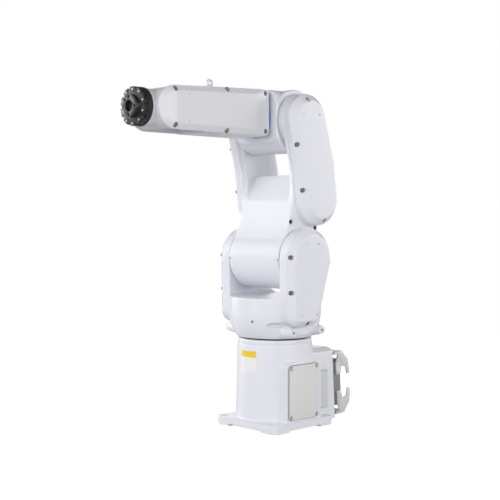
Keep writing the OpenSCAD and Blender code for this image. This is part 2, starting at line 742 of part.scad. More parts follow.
base_casting();
turn_bearing();
base_cover();
rear_panel();
socket_shell();
socket_insert();
latch_upper();
latch_lower();
turret_casting();
shoulder_cover_left();
shoulder_cover_right();
upper_arm_casting();
belt_cover();
plain_cover();
elbow_housing();
forearm_ring();
forearm_casting();
forearm_cover_left();
forearm_cover_right();
cable_eye();
wrist_housing();
wrist_ring();
tool_flange();
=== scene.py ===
"""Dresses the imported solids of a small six-axis robot arm and sets up a studio round it."""

import json
import math

import bmesh
import bpy
from bpy.props import FloatProperty, FloatVectorProperty, PointerProperty
from mathutils import Matrix, Vector


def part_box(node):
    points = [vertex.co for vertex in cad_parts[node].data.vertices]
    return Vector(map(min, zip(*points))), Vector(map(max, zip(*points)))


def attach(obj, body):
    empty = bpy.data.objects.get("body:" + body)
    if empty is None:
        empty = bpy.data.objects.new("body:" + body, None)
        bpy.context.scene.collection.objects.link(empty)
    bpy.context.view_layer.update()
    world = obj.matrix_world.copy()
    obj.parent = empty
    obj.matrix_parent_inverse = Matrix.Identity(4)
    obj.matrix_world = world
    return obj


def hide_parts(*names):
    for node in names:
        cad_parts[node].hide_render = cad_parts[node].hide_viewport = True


bl_info = {
    "name": "Robot arm dressing",
    "version": (1, 0, 0),
    "blender": (4, 5, 0),
    "location": "3D View > Sidebar > Robot Arm",
    "description": "Softens the castings of a robot arm and adds its covers, screws and studio",
    "category": "Object",
}

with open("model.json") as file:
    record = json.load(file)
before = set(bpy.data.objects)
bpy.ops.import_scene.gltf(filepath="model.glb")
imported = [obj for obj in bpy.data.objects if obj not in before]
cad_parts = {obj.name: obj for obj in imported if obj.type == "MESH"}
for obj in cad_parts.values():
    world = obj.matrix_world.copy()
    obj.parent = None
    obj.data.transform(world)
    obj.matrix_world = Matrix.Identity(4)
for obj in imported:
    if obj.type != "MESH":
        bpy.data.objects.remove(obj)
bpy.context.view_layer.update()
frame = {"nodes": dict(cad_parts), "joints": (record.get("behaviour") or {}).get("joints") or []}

JOINTS = {joint["name"]: Vector(joint["pos_m"]) for joint in frame["joints"]}
SHOULDER = JOINTS["axis_2_shoulder"]
ELBOW = JOINTS["axis_3_elbow"]
ROLL = JOINTS["axis_4_forearm_roll"]
WRIST = JOINTS["axis_5_wrist"]
UPPER_ARM = ELBOW.z - SHOULDER.z
FOREARM_AXIS = Vector((0, 0, ROLL.z))

# Side outlines as rounds (x, z, radius) in the order that a band runs round them, from the
# shoulder or from the forearm's axis
EAR = ((0, 0, 0.059), (-0.004, -0.104, 0.024), (0.033, -0.104, 0.024))
ARM_HEAD = (0, UPPER_ARM, 0.050)
ARM_BEND = (-0.0245, 0.180, 0.051)
ARM_LOBE = (-0.032, 0.117, 0.052)
ARM_HOLLOW = 0.3
FOREARM_LIP = ((WRIST.x, 0, 0.0385), (0.072, 0.0365, 0.012), (0.072, -0.0265, 0.012))
FOREARM_FACE = (
    (0.289, 0.0236, 0.005), (0.101, 0.0322, 0.005),
    (0.101, -0.0235, 0.005), (0.289, -0.0235, 0.005))

# Covers: the solid, the piece that stands for it, and the piece with its turning marks
EAR_COVERS = (
    ("shoulder_cover_left", "ear_cover_left", "ear_marks_left"),
    ("shoulder_cover_right", "ear_cover_right", "ear_marks_right"))
ARM_COVERS = (
    ("belt_cover", "belt_shell", "belt_marks"), ("plain_cover", "plain_shell", "plain_marks"))
FOREARM_COVERS = (
    ("forearm_cover_left", "forearm_shell_left"), ("forearm_cover_right", "forearm_shell_right"))

# Covers: width of the bevel, its height where that differs, and the screws' seats above the casting
EAR_BEVEL = 0.011
EAR_SEAT = 0.002
ARM_BEVEL = 0.013
ARM_SEAT = 0.014
FOREARM_BEVEL = 0.010
FOREARM_RISE = 0.0075
FOREARM_SEAT = 0.002
FACE_STRIP = 0.012
FACE_REACH = 0.1
POCKET_PAST = 0.004
CENTRE_MARK_R = 0.0015

# Places of the covers' screws and centre marks (x, z), from the same axes
EAR_SCREWS = (
    (0.054, 0.005), (0.053, -0.062), (0.009, -0.122), (-0.032, -0.074), (-0.053, -0.007))
ARM_SCREWS = (
    (0.033, 0.218), (0.017, 0.132), (0.009, 0.304),
    (-0.040, 0.075), (-0.071, 0.152), (-0.058, 0.218))
FOREARM_SCREWS = (
    (0.294, 0.0315), (0.294, -0.0315), (0.170, 0.0405),
    (0.171, -0.035), (0.071, 0.041), (0.071, -0.0305))
FOREARM_MARKS = ((0.265, 0.024), (0.265, -0.0235))

# Turning marks: the middle (x, z) of a plus and a minus and half the way between them
EAR_TURNS = ((0.0015, 0.360, 0.0165), (0.009, 0.224, 0.020))
ARM_TURNS = ((0.001, 0.607, 0.022),)
TURN_ARM = 0.0026
TURN_WIDTH = 0.0010
TURN_SUNK = 0.0004
TURN_PROUD = 0.0006

# Screws: radius and height of each kind of head, and of the washers under them, which under the
# covers' screws are black discs on the pockets' floors: painted shade
COVER_HEAD_H = 0.0032
FOREARM_HEAD_SHARE = 0.8
SHADE_DISC_GAP = 0.0001
SHADE_DISC_T = 0.0004
NECK_HEAD = (0.0038, 0.004)
FLANGE_HEAD = (0.0021, 0.0028)
SIDE_COVER_HEAD = (0.0031, 0.0018)
SIDE_COVER_WASHER = (0.004, 0.0007)
PANEL_HEAD = (0.0032, 0.0022)
HEAD_SIDES = 28

# Screws of the flange, the side cover and the rear panel: their places and seats
FLANGE_SCREWS = 10
FLANGE_SCREW_R = 0.0297
FLANGE_SEAT = 0.0085
SIDE_COVER_INSET = 0.0048
SIDE_COVER_SUNK = 0.0004
PANEL_LEAN = math.atan2(0.008, 0.137)
PANEL_T = 0.003
PANEL_SHARES = (0.06, 0.94)
PANEL_INSET = 0.006
PANEL_SUNK = 0.0002

# Edges of the smaller pieces
FINE_EDGE = 0.0004
INSERT_EDGE = 0.0005
RING_EDGE = 0.0006
COVER_PLATE_EDGE = 0.0008
PANEL_EDGE = 0.0009
FLAT_ANGLE = math.radians(2)
SHARP_ANGLE = math.radians(30)

# Castings: rounds of blending, and the finer grids of forearm and wrist
BASE_ROUNDS = 4
TURRET_ROUNDS = 5
UPPER_ARM_ROUNDS = 6
UPPER_ARM_GRAIN = 1.15
ELBOW_ROUNDS = 30
FOREARM_ROUNDS = 5
FOREARM_VOXEL = 0.0011
WRIST_ROUNDS = 7
WRIST_VOXEL = 0.0009
CAST_SMOOTH = 40
BORE_SIDES = 32
PLUG_SHORT = 0.0005

# Upper arm: bolts in its neck (x, z from the shoulder) and the small holes in its drum
NECK_SIDE = 0.0685
NECK_BOLTS = ((0.0255, 0.072), (-0.043, 0.060))
NECK_BORE_R = 0.0047
DRUM_FRONT = 0.060
DRUM_HOLE_Y = 0.0655
DRUM_HOLE_R = 0.0019
BOLT_DEPTH = 0.006
BOLT_PAST = 0.01

# Blue ring: how far it is drawn in behind the forearm's end
RING_DRAW = 0.925

# Base: corner holes with their spot faces, column with its step, and the boxes on it
MOUNT_REACH = 0.070
PLATE_BELOW_COVER = 0.0045
MOUNT_PLUG = 0.001
MOUNT_START = -0.01
SPOT_R = 0.0095
SPOT_DEPTH = 0.001
SPOT_CUT = 0.009
COLUMN_LOW_R = 0.078
COLUMN_HIGH_R = 0.0745
COLUMN_LOW_Z = 0.017
COLUMN_HIGH_Z = 0.165
COLUMN_RING_R = 0.073
STEP_GROOVE_DEPTH = 0.002
STEP_GROOVE_H = 0.0018
STEP_CUT_R = 0.1
STEP_CUT_H = 0.02
# Side cover: a black sheet behind it, a little larger, that shows round its edge as painted shade
# of the seam
SEAM_SHADE_RIM = 0.0009
SEAM_SHADE_SUNK = 0.0006
SEAM_SHADE_PROUD = 0.0008
SEAM_SHADE_CORNER = 0.007

# Cable socket: rows of contacts, their margins, the lean of the carrier's face, and a contact
PIN_ROWS = 10
PIN_COLUMNS = 4
PIN_ROW_MARGIN = 0.14
PIN_COLUMN_MARGIN = 0.2
PIN_LEAN = 0.0046
PIN_SUNK = 0.002
PIN_HEAD = (0.0014, 0.0035)

# Turret: threaded bosses with a milled face
BOSS_X = 0.040
BOSS_Z = 0.191
BOSS_FACE = 0.091
BOSS_FLAT_R = 0.0095
BOSS_FACING = 0.0006
BOSS_CUT = 0.006
THREAD_R = 0.003
THREAD_DEPTH = 0.014
THREAD_PLUG_R = 0.0045
THREAD_PLUG_DEPTH = 0.016

# Turret: the eye-shaped pocket, the sector of bowl that fills the solid's own, and the small hole
POCKET_BEARING = math.radians(46)
POCKET_Z = 0.206
POCKET_REACH = 0.0845
POCKET_R = 0.0068
POCKET_HALF = 0.019
POCKET_STEPS = 21
POCKET_TIP = 0.2
FILL_TURNS = (math.radians(-21), math.radians(17.5))
FILL_LAYERS = 9
FILL_LAYER = 0.001
FILL_INNER_R = 0.07
FILL_STEPS = 40
BOWL_HOLE_BEARING = math.radians(16)
BOWL_HOLE_Z = 0.211
BOWL_HOLE_R = 0.003
BOWL_HOLE_DEPTH = 0.010
BOWL_HOLE_PAST = 0.006
BOWL_R = 0.091
BOWL_BEND = 0.080
BOWL_MIDDLE = 0.011
BOWL_TOP = 0.225

# Sticker on the column, and the plate on the rear box with a black sheet behind it that is painted
# shade round its edges
STICKER_Z = 0.1315
STICKER_TURNS = (math.radians(-14), math.radians(16))
STICKER_LIFT = 0.0001
STICKER_FILM = 0.0002
STICKER_ACROSS = 16
STICKER_UP = 12
STICKER_BAND = 0.29
STICKER_BLUR = 0.0001
PLATE_CENTRE = Vector((-0.0825, 0.057, 0.067))
PLATE_HALF_W = 0.0105
PLATE_T = 0.001
PLATE_CORNER = 0.002
PLATE_SHADE_RIM = 0.0006
PLATE_SHADE_SUNK = 0.0005
PLATE_SHADE_PROUD = 0.0003
PLATE_SHADE_CORNER = 0.0022

# Soft lamps round the arm: name, bearing and height in degrees, share of the lamp power, height of
# its aim, and spread in degrees
LAMPS = (
    ("left_rim", -72, 10, 1.15, 0.34, 180), ("left_lamp", -35, 24, 0.5, 0.38, 180),
    ("front_lamp", 20, 14, 0.9, 0.38, 180), ("right_lamp", 88, 10, 1.0, 0.38, 180),
    ("right_rim", 155, 12, 0.9, 0.38, 180), ("back_lamp", 230, 15, 0.35, 0.38, 180),
    ("low_lamp", -8, 3, 0.026, 0.05, 20))
LAMP_REACH = 2.5
LAMP_SIZE = 1.5
FLOOR_R = 1.6
FLOOR_TONES = ((0.58, 0.58, 0.58), (0.60, 0.60, 0.60))
WHITE = (1, 1, 1, 1)

# Photograph's view: a square frame, its focal length in its own pixels, and where the camera stands
PHOTO_SIDE = 500
PHOTO_FOCAL = 1030
SENSOR = 36.0
CLIP_END = 50
CAMERA_PLACE = (1.4522, 1.4330, 0.4132)
CAMERA_BEARING = math.radians(44)
CAMERA_DIP = math.atan2(34, PHOTO_FOCAL)

# Every finish of the arm, by the name that the pieces ask for
FINISHES = {}


class ArmSizes(bpy.types.PropertyGroup):
    """Sizes of the dressing, in metres."""

    cast_voxel: FloatProperty(
        name="Casting Grain", description="Grid on which the castings' edges are blended",
        default=0.0014, min=0.0008, max=0.003, precision=4, unit="LENGTH")
    cover_edge: FloatProperty(
        name="Cover Edge", description="Radius that softens the edges of the covers' bevels",
        default=0.006, min=0.001, max=0.02, precision=4, unit="LENGTH")
    lip: FloatProperty(
        name="Cover Lip", description="Groove where a cover meets its casting",
        default=0.0007, min=0.0002, max=0.002, precision=4, unit="LENGTH")
    pocket_radius: FloatProperty(
        name="Screw Pocket", description="Radius of the pockets round the covers' screws",
        default=0.0045, min=0.003, max=0.006, precision=4, unit="LENGTH")
    screw_radius: FloatProperty(
        name="Screw Head", description="Radius of the covers' screw heads",
        default=0.0033, min=0.002, max=0.004, precision=4, unit="LENGTH")
    mount_radius: FloatProperty(
        name="Mounting Hole", description="Radius of the holes at the base's corners",
        default=0.0045, min=0.003, max=0.006, precision=4, unit="LENGTH")
    sticker_height: FloatProperty(
        name="Sticker Height", description="Height of the sticker on the column",
        default=0.041, min=0.02, max=0.06, precision=3, unit="LENGTH")
    plate_height: FloatProperty(
        name="Plate Height", description="Height of the bare plate on the rear box",
        default=0.074, min=0.04, max=0.09, precision=3, unit="LENGTH")


class ArmFinish(bpy.types.PropertyGroup):
    """Colours and finishes."""

    white: FloatVectorProperty(
        name="White Paint", description="Paint of the castings", subtype="COLOR", size=3,
        default=(0.80, 0.80, 0.86), min=0, max=1)
    grey: FloatVectorProperty(
        name="Cover Grey", description="Paint of the base's side cover", subtype="COLOR", size=3,
        default=(0.74, 0.74, 0.725), min=0, max=1)
    forearm_grey: FloatVectorProperty(
        name="Forearm Grey", description="Paint of the forearm's covers and wrist",
        subtype="COLOR", size=3, default=(0.74, 0.74, 0.78), min=0, max=1)
    black: FloatVectorProperty(
        name="Flange Black", description="Anodised tool flange", subtype="COLOR", size=3,
        default=(0.022, 0.023, 0.024), min=0, max=1)
    blue: FloatVectorProperty(
        name="Ring Blue", description="Ring between elbow and forearm", subtype="COLOR", size=3,
        default=(0.035, 0.24, 0.58), min=0, max=1)
    socket: FloatVectorProperty(
        name="Socket Grey", description="Powder coat of the cable socket", subtype="COLOR", size=3,
        default=(0.26, 0.26, 0.27), min=0, max=1)
    yellow: FloatVectorProperty(
        name="Sticker Band", description="Plain band along the sticker's top",
        subtype="COLOR", size=3, default=(0.87, 0.60, 0.02), min=0, max=1)
    roughness: FloatProperty(
        name="Paint Roughness", description="Roughness of the satin paint",
        default=0.30, min=0.1, max=0.9, subtype="FACTOR")
    lamp_power: FloatProperty(
        name="Lamp Power", description="Power of a studio lamp of share 1",
        default=26.5, min=0, max=200, unit="POWER")
    ambient: FloatProperty(
        name="Ambient Light", description="Strength of the even light from all round",
        default=0.1, min=0, max=2)
    paper: FloatProperty(
        name="Floor Glow",
        description="White that the floor adds for the camera, so that only a faint shadow shows",
        default=0.8, min=0, max=2)


def sizes():
    return bpy.context.scene.arm_sizes


def finish():
    return bpy.context.scene.arm_finish


# Materials


def wire(tree, kind, **sockets):
    """A node with its inputs set, or joined where the value is another node's output.

    An underscore stands for the space in an input's name.
    """
    node = tree.nodes.new(kind)
    for name, value in sockets.items():
        join(tree, value, node.inputs[name.replace("_", " ")])
    return node


def join(tree, value, socket):
    """Links another node's output to an input, or sets the input to a plain value."""
    if isinstance(value, bpy.types.NodeSocket):
        tree.links.new(value, socket)
    else:
        socket.default_value = value


def new_material(name):
    """A material, its tree, its shader and the Object coordinates that its patterns read."""
    material = bpy.data.materials.new(name)
    material.use_nodes = True
    tree = material.node_tree
    place = tree.nodes.new("ShaderNodeTexCoord").outputs["Object"]
    return material, tree, tree.nodes["Principled BSDF"], place


def noise(tree, place, scale, detail=2.0):
    return wire(tree, "ShaderNodeTexNoise", Vector=place, Scale=scale, Detail=detail).outputs["Fac"]


def stretched(tree, place, scale):
    """Coordinates scaled by a different amount along each axis."""
    return wire(tree, "ShaderNodeMapping", Vector=place, Scale=scale).outputs["Vector"]


def tint(tree, factor, low, high):
    """A colour between two others, each plain or another node's output."""
    node = tree.nodes.new("ShaderNodeMix")
    node.data_type = "RGBA"
    tree.links.new(factor, node.inputs[0])
    for socket, colour in zip((item for item in node.inputs if item.type == "RGBA"), (low, high)):
        join(tree, (*colour, 1) if isinstance(colour, tuple) else colour, socket)
    return next(item for item in node.outputs if item.type == "RGBA")


def shade(colour, by):
    return tuple(channel * by for channel in colour)


def vary_colour(tree, shader, factor, colour, low, high):
    """Lets a pattern vary a colour between two shades of it."""
    shades = tint(tree, factor, shade(colour, low), shade(colour, high))
    tree.links.new(shades, shader.inputs["Base Color"])


def vary_gloss(tree, shader, factor, low, high):
    """Lets a pattern vary the roughness between two values."""
    gloss = wire(tree, "ShaderNodeMapRange", Value=factor, To_Min=low, To_Max=high)
    tree.links.new(gloss.outputs["Result"], shader.inputs["Roughness"])


def relief(tree, shader, height, distance, strength):
    bump = wire(tree, "ShaderNodeBump", Height=height, Distance=distance, Strength=strength)
    tree.links.new(bump.outputs["Normal"], shader.inputs["Normal"])


def satin_paint(name, colour, roughness):
    """Sprayed satin paint: a faint mottle, uneven gloss and a fine orange peel."""
    material, tree, shader, place = new_material(name)
    mottle = noise(tree, place, scale=9.0, detail=3.0)
    vary_colour(tree, shader, mottle, colour, low=0.975, high=1.015)
    cloud = noise(tree, place, scale=60.0)
    vary_gloss(tree, shader, cloud, low=roughness - 0.04, high=roughness + 0.04)
    peel = noise(tree, place, scale=700.0, detail=1.0)
    relief(tree, shader, peel, distance=0.00012, strength=0.25)
    shader.inputs["Specular IOR Level"].default_value = 0.4
    return material


def turned_metal(name, colour, metallic, roughness, centre):
    """Metal turned on a lathe: fine rings round the axis along X through a point."""
    material, tree, shader, place = new_material(name)
    spoke = wire(tree, "ShaderNodeMapping", Vector=place, Scale=(0, 1, 1),
                 Location=(0, -centre.y, -centre.z))
    radius = tree.nodes.new("ShaderNodeVectorMath")
    radius.operation = "LENGTH"
    tree.links.new(spoke.outputs["Vector"], radius.inputs[0])
    rings = tree.nodes.new("ShaderNodeTexNoise")
    rings.noise_dimensions = "1D"
    rings.inputs["Scale"].default_value = 2600.0
    tree.links.new(radius.outputs["Value"], rings.inputs["W"])
    groove = rings.outputs["Fac"]
    vary_colour(tree, shader, noise(tree, place, scale=120.0), colour, low=0.8, high=1.25)
    vary_gloss(tree, shader, groove, low=roughness - 0.08, high=roughness + 0.1)
    relief(tree, shader, groove, distance=0.00006, strength=0.5)
    shader.inputs["Metallic"].default_value = metallic
    return material


def plated_steel(name, colour, roughness, metallic=0.75):
    """Zinc plate: bright, with a crystalline mottle and fine scratches."""
    material, tree, shader, place = new_material(name)
    cells = wire(tree, "ShaderNodeTexVoronoi", Vector=place, Scale=420.0)
    vary_colour(tree, shader, cells.outputs["Distance"], colour, low=1.04, high=0.86)
    scratch = noise(tree, stretched(tree, place, (3000.0, 200.0, 60.0)), scale=1.0)
    vary_gloss(tree, shader, scratch, low=roughness - 0.08, high=roughness + 0.12)
    relief(tree, shader, scratch, distance=0.00004, strength=0.3)
    shader.inputs["Metallic"].default_value = metallic
    return material


def grained(name, colour, roughness, grain, depth, metallic=0.0):
    """Powder coat, moulded plastic or rubber: an even colour under a fine grain."""
    material, tree, shader, place = new_material(name)
    speck = noise(tree, place, scale=grain, detail=3.0)
    vary_colour(tree, shader, speck, colour, low=0.82, high=1.18)
    vary_gloss(tree, shader, speck, low=roughness - 0.06, high=roughness + 0.08)
    relief(tree, shader, speck, distance=depth, strength=0.6)
    shader.inputs["Metallic"].default_value = metallic
    return material


def banded_sticker(name, band, height):
    """White film with a plain band of colour along its top."""
    material, tree, shader, place = new_material(name)
    edge = STICKER_Z + height / 2 - STICKER_BAND * height
    step = wire(
        tree, "ShaderNodeMapRange",
        Value=wire(tree, "ShaderNodeSeparateXYZ", Vector=place).outputs["Z"],
        From_Min=edge - STICKER_BLUR, From_Max=edge + STICKER_BLUR).outputs["Result"]
    film = tint(tree, noise(tree, place, scale=40.0), (0.83, 0.83, 0.85), (0.88, 0.88, 0.89))
    ink = tint(tree, noise(tree, place, scale=90.0), shade(band, 0.95), shade(band, 1.05))
    tree.links.new(tint(tree, step, film, ink), shader.inputs["Base Color"])
    vary_gloss(tree, shader, noise(tree, place, scale=30.0), low=0.28, high=0.36)
    return material


def brushed_plate(name, colour):
    """Thin aluminium brushed up and down."""
    material, tree, shader, place = new_material(name)
    brush = noise(tree, stretched(tree, place, (2600.0, 2600.0, 30.0)), scale=1.0)
    vary_colour(tree, shader, brush, colour, low=0.93, high=1.05)
    vary_gloss(tree, shader, brush, low=0.3, high=0.45)
    relief(tree, shader, brush, distance=0.00003, strength=0.4)
    shader.inputs["Metallic"].default_value = 0.35
    return material


def make_finishes():
    """Fills the table of finishes."""
    look = finish()
    FINISHES.update({
        "white": satin_paint("satin_white", look.white, look.roughness),
        "grey": satin_paint("cover_grey", look.grey, look.roughness + 0.08),
        "forearm": satin_paint("forearm_grey", look.forearm_grey, look.roughness),
        # The turning marks get a grey darker than the covers' white: painted shade for their faint
        # shadows.
        "mark": satin_paint("mark_painted_shade", shade(look.white, 0.55), look.roughness + 0.1),
        "flange": turned_metal("black_anodised", look.black, 0.35, 0.38, WRIST),
        "blue": grained("ring_blue", look.blue, 0.4, 900.0, 0.00004),
        # Black rubber of the seals. The same finish also colours the black sheets and discs that
        # are painted shade round the side cover, behind the plate and in the covers' pockets.
        "seal": grained("seal_rubber_and_shade", (0.018, 0.018, 0.02), 0.62, 700.0, 0.00008),
        "socket": grained("socket_powder", look.socket, 0.55, 1400.0, 0.00009, 0.2),
        "insert": grained("contact_carrier", (0.03, 0.03, 0.033), 0.5, 1100.0, 0.00005),
        "contact": plated_steel("contact_metal", (0.72, 0.66, 0.5), 0.3),
        "zinc": plated_steel("latch_zinc", (0.72, 0.735, 0.72), 0.5, 0.3),
        "steel": plated_steel("screw_steel", (0.36, 0.36, 0.37), 0.34),
        # Near-black plate of the neck bolts: painted shade for the shade that falls on them.
        "screw": plated_steel("bolt_painted_shade", (0.05, 0.05, 0.055), 0.4),
        "bright": plated_steel("screw_bright", (0.78, 0.78, 0.79), 0.3, 0.5),
        "plate": brushed_plate("bare_plate", (0.78, 0.79, 0.78)),
        "sticker": banded_sticker("plain_sticker", look.yellow, sizes().sticker_height),
    })


# Meshes


def new_object(name, mesh):
    piece = bpy.data.objects.new(name, mesh)
    bpy.context.scene.collection.objects.link(piece)
    return piece


def from_bmesh(name, shape):
    mesh = bpy.data.meshes.new(name)
    shape.to_mesh(mesh)
    shape.free()
    return new_object(name, mesh)


def bake(piece):
    """Applies a piece's modifiers and drops them."""
    graph = bpy.context.evaluated_depsgraph_get()
    mesh = bpy.data.meshes.new_from_object(piece.evaluated_get(graph))
    piece.modifiers.clear()
    old, piece.data = piece.data, mesh
    bpy.data.meshes.remove(old)
    mesh.name = piece.name


def smooth(piece, angle=32):
    piece.data.shade_smooth()
    piece.data.set_sharp_from_angle(angle=math.radians(angle))


def dress(piece, body, slot, material, *nodes):
    """Gives a finished piece its finish, its body and the solids that it stands for."""
    if not piece.data.polygons:
        raise RuntimeError(f"{piece.name} has no faces")
    piece.data.materials.clear()
    piece.data.materials.append(FINISHES[material])
    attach(piece, body)
    if nodes:
        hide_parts(*nodes)


def merged(node):
    """A bmesh of a solid with its loose triangles joined."""
    shape = bmesh.new()
    shape.from_mesh(frame["nodes"][node].data)
    bmesh.ops.remove_doubles(shape, verts=shape.verts, dist=2e-6)
    return shape


def walls(shape, rings):
    """Joins closed rings of points, each to the next."""
    for low, high in zip(rings, rings[1:]):
        for i in range(len(low)):
            k = (i + 1) % len(low)
            shape.faces.new((low[i], low[k], high[k], high[i]))


def on_bearing(radius, bearing, z=0.0):
    return Vector((radius * math.cos(bearing), radius * math.sin(bearing), z))


def between(start, end, count):
    """Even steps from start to end, both included."""
    return [start + (end - start) * i / count for i in range(count + 1)]


def turned(shape, start, axis, profile, sides=48):
    """Adds a closed turned body to a bmesh.

    Its profile is (distance along the axis, radius) from end to end.
    """
    turn = Vector(axis).to_track_quat("Z", "Y").to_matrix()
    bearings = between(0, math.tau, sides)[:-1]
    rings = [[shape.verts.new(Vector(start) + turn @ on_bearing(radius, bearing, along))
              for bearing in bearings] for along, radius in profile]
    walls(shape, rings)
    shape.faces.new(rings[0][::-1])
    shape.faces.new(rings[-1])


def rod(start, end, radius):
    """A plain round rod as a place, an axis and a profile."""
    axis = Vector(end) - Vector(start)
    return start, axis, ((0, radius), (axis.length, radius))


def rods(name, bodies, sides=48):
    """One object of turned bodies."""
    shape = bmesh.new()
    for start, axis, profile in bodies:
        turned(shape, start, axis, profile, sides)
    return from_bmesh(name, shape)


def revolved(shape, profile, start=0.0, end=math.tau, steps=180):
    """Adds a solid turned about the upright axis to a bmesh, whole or as a sector."""
    whole = end - start > math.tau - 0.001
    bearings = between(start, end, steps)[:steps if whole else None]
    rings = [[shape.verts.new(on_bearing(radius, bearing, z)) for radius, z in profile]
             for bearing in bearings]
    faces = []
    for here, there in zip(rings, rings[1:] + (rings[:1] if whole else [])):
        for i in range(len(profile)):
            faces.append(shape.faces.new((here[i - 1], here[i], there[i], there[i - 1])))
    if not whole:
        faces += [shape.faces.new(rings[0]), shape.faces.new(rings[-1])]
    bmesh.ops.recalc_face_normals(shape, faces=faces)


def block(shape, low, high):
    """Adds a block between two corners to a bmesh."""
    place = Matrix.Translation((low + high) / 2) @ Matrix.Diagonal((*(high - low), 1))
    bmesh.ops.create_cube(shape, size=1, matrix=place)


def cut(piece, cutter):
    """Cuts one closed mesh out of another and drops the cutter."""
    before = len(piece.data.vertices)
    modifier = piece.modifiers.new("cut", "BOOLEAN")
    modifier.operation, modifier.solver, modifier.object = "DIFFERENCE", "MANIFOLD", cutter
    bpy.context.view_layer.update()
    bake(piece)
    if len(piece.data.vertices) == before:
        raise RuntimeError(f"{piece.name} was not cut by {cutter.name}")
    mesh = cutter.data
    bpy.data.objects.remove(cutter)
    bpy.data.meshes.remove(mesh)


def soft_casting(node, name, voxel, rounds, plugs=()):
    """A solid with its edges and inner corners blended as in a casting.

    Plugs fill bores that are cut again after.
    """
    shape = merged(node)
    for add, *given in plugs:
        add(shape, *given)
    piece = from_bmesh(name, shape)
    grid = piece.modifiers.new("grid", "REMESH")
    grid.mode, grid.voxel_size = "VOXEL", voxel
    blend = piece.modifiers.new("blend", "SMOOTH")
    blend.factor, blend.iterations = 0.5, rounds
    bake(piece)
    smooth(piece, 50)
    return piece


def slab(name, low, high, corner):
    """A thin upright sheet between two corners, with its corners rounded in its own plane."""
    shape = bmesh.new()
    block(shape, low, high)
    across = [edge for edge in shape.edges
              if abs(edge.verts[0].co.y - edge.verts[1].co.y) > 1e-5]
    bmesh.ops.bevel(
        shape, geom=across, offset=corner, segments=6, profile=0.5, affect="EDGES")
    piece = from_bmesh(name, shape)
    smooth(piece)
    return piece


def edged(node, name, width, steps):
    """A solid with its sharp edges broken by a small round."""
    shape = merged(node)
    bmesh.ops.dissolve_limit(
        shape, angle_limit=FLAT_ANGLE, verts=shape.verts, edges=shape.edges)
    sharp = [edge for edge in shape.edges
             if edge.is_manifold and edge.calc_face_angle(0) > SHARP_ANGLE]
    bmesh.ops.bevel(shape, geom=sharp, offset=width, segments=steps, profile=0.5,
                    affect="EDGES", clamp_overlap=True)
    bmesh.ops.remove_doubles(shape, verts=shape.verts, dist=1e-6)
    piece = from_bmesh(name, shape)
    smooth(piece)
    return piece


def edged_piece(node, name, width, body, slot, material, steps=2):
    """A solid with broken edges as a finished piece."""
    dress(edged(node, name, width, steps), body, slot, material, node)


# Outlines of the covers


def next_pairs(rounds):
    """Each round of a closed chain with the one after it."""
    return zip(rounds, rounds[1:] + rounds[:1])


def support(place, bearing):
    """How far a round reaches along a bearing."""
    return place[0] * math.cos(bearing) + place[1] * math.sin(bearing) + place[2]


def leaving(here, there):
    """The bearing at which a band leaves one round for the next."""
    x, z = there[0] - here[0], there[1] - here[1]
    return math.atan2(z, x) - math.acos((here[2] - there[2]) / math.hypot(x, z))


def hollow(before, corner, after, radius):
    """A hollow round, of negative radius, that eases the inner side of a bend in a chain."""
    first, second = leaving(before, corner), leaving(corner, after)
    reach = [support(corner, turn) + radius for turn in (first, second)]
    scale = math.sin(second - first)
    x = (reach[0] * math.sin(second) - reach[1] * math.sin(first)) / scale
    z = (reach[1] * math.cos(first) - reach[0] * math.cos(second)) / scale
    return x, z, -radius


def sweep(start, end, step=math.radians(5)):
    return between(start, end, max(2, math.ceil(abs(end - start) / step)))


def on_round(place, inset, bearing):
    return Vector(place[:2]) + on_bearing(place[2] - inset, bearing).xy


def inset_band(rounds, run):
    """A band round an outline and the same band drawn in.

    Its columns are (bearing, outer point, inner point) in order.
    """
    turns = [leaving(here, there) for here, there in next_pairs(rounds)]
    columns = []
    for place, start, end in zip(rounds, turns[-1:] + turns[:-1], turns):
        turn = (end - start) % math.tau if place[2] > 0 else -((start - end) % math.tau)
        columns += [(bearing, on_round(place, 0, bearing), on_round(place, run, bearing))
                    for bearing in sweep(start, start + turn)]
    return columns


def bridged_band(lip, face):
    """A band from one swelling outline to another, joined where both face the same way."""
    turns = sorted({leaving(here, there) % math.tau
                    for rounds in (lip, face) for here, there in next_pairs(rounds)})
    columns = []
    for start, end in zip(turns, turns[1:] + [turns[0] + math.tau]):
        middle = (start + end) / 2
        low, high = (max(rounds, key=lambda place: support(place, middle))
                     for rounds in (lip, face))
        columns += [(bearing, on_round(low, 0, bearing), on_round(high, 0, bearing))
                    for bearing in sweep(start, end)]
    return columns


def eased(profile, radius, steps=5):
    """A bent line with each inner corner rounded as far as its sides allow."""
    profile = [Vector(point) for point in profile]
    points = profile[:1]
    for before, corner, after in zip(profile, profile[1:], profile[2:]):
        back, on = before - corner, after - corner
        half = back.angle(on) / 2
        reach = min(radius / math.tan(half), 0.48 * back.length, 0.48 * on.length)
        start, end = corner + back.normalized() * reach, corner + on.normalized() * reach
        points += [start * (1 - t) ** 2 + corner * 2 * t * (1 - t) + end * t ** 2
                   for t in between(0, 1, steps)]
    return points + profile[-1:]


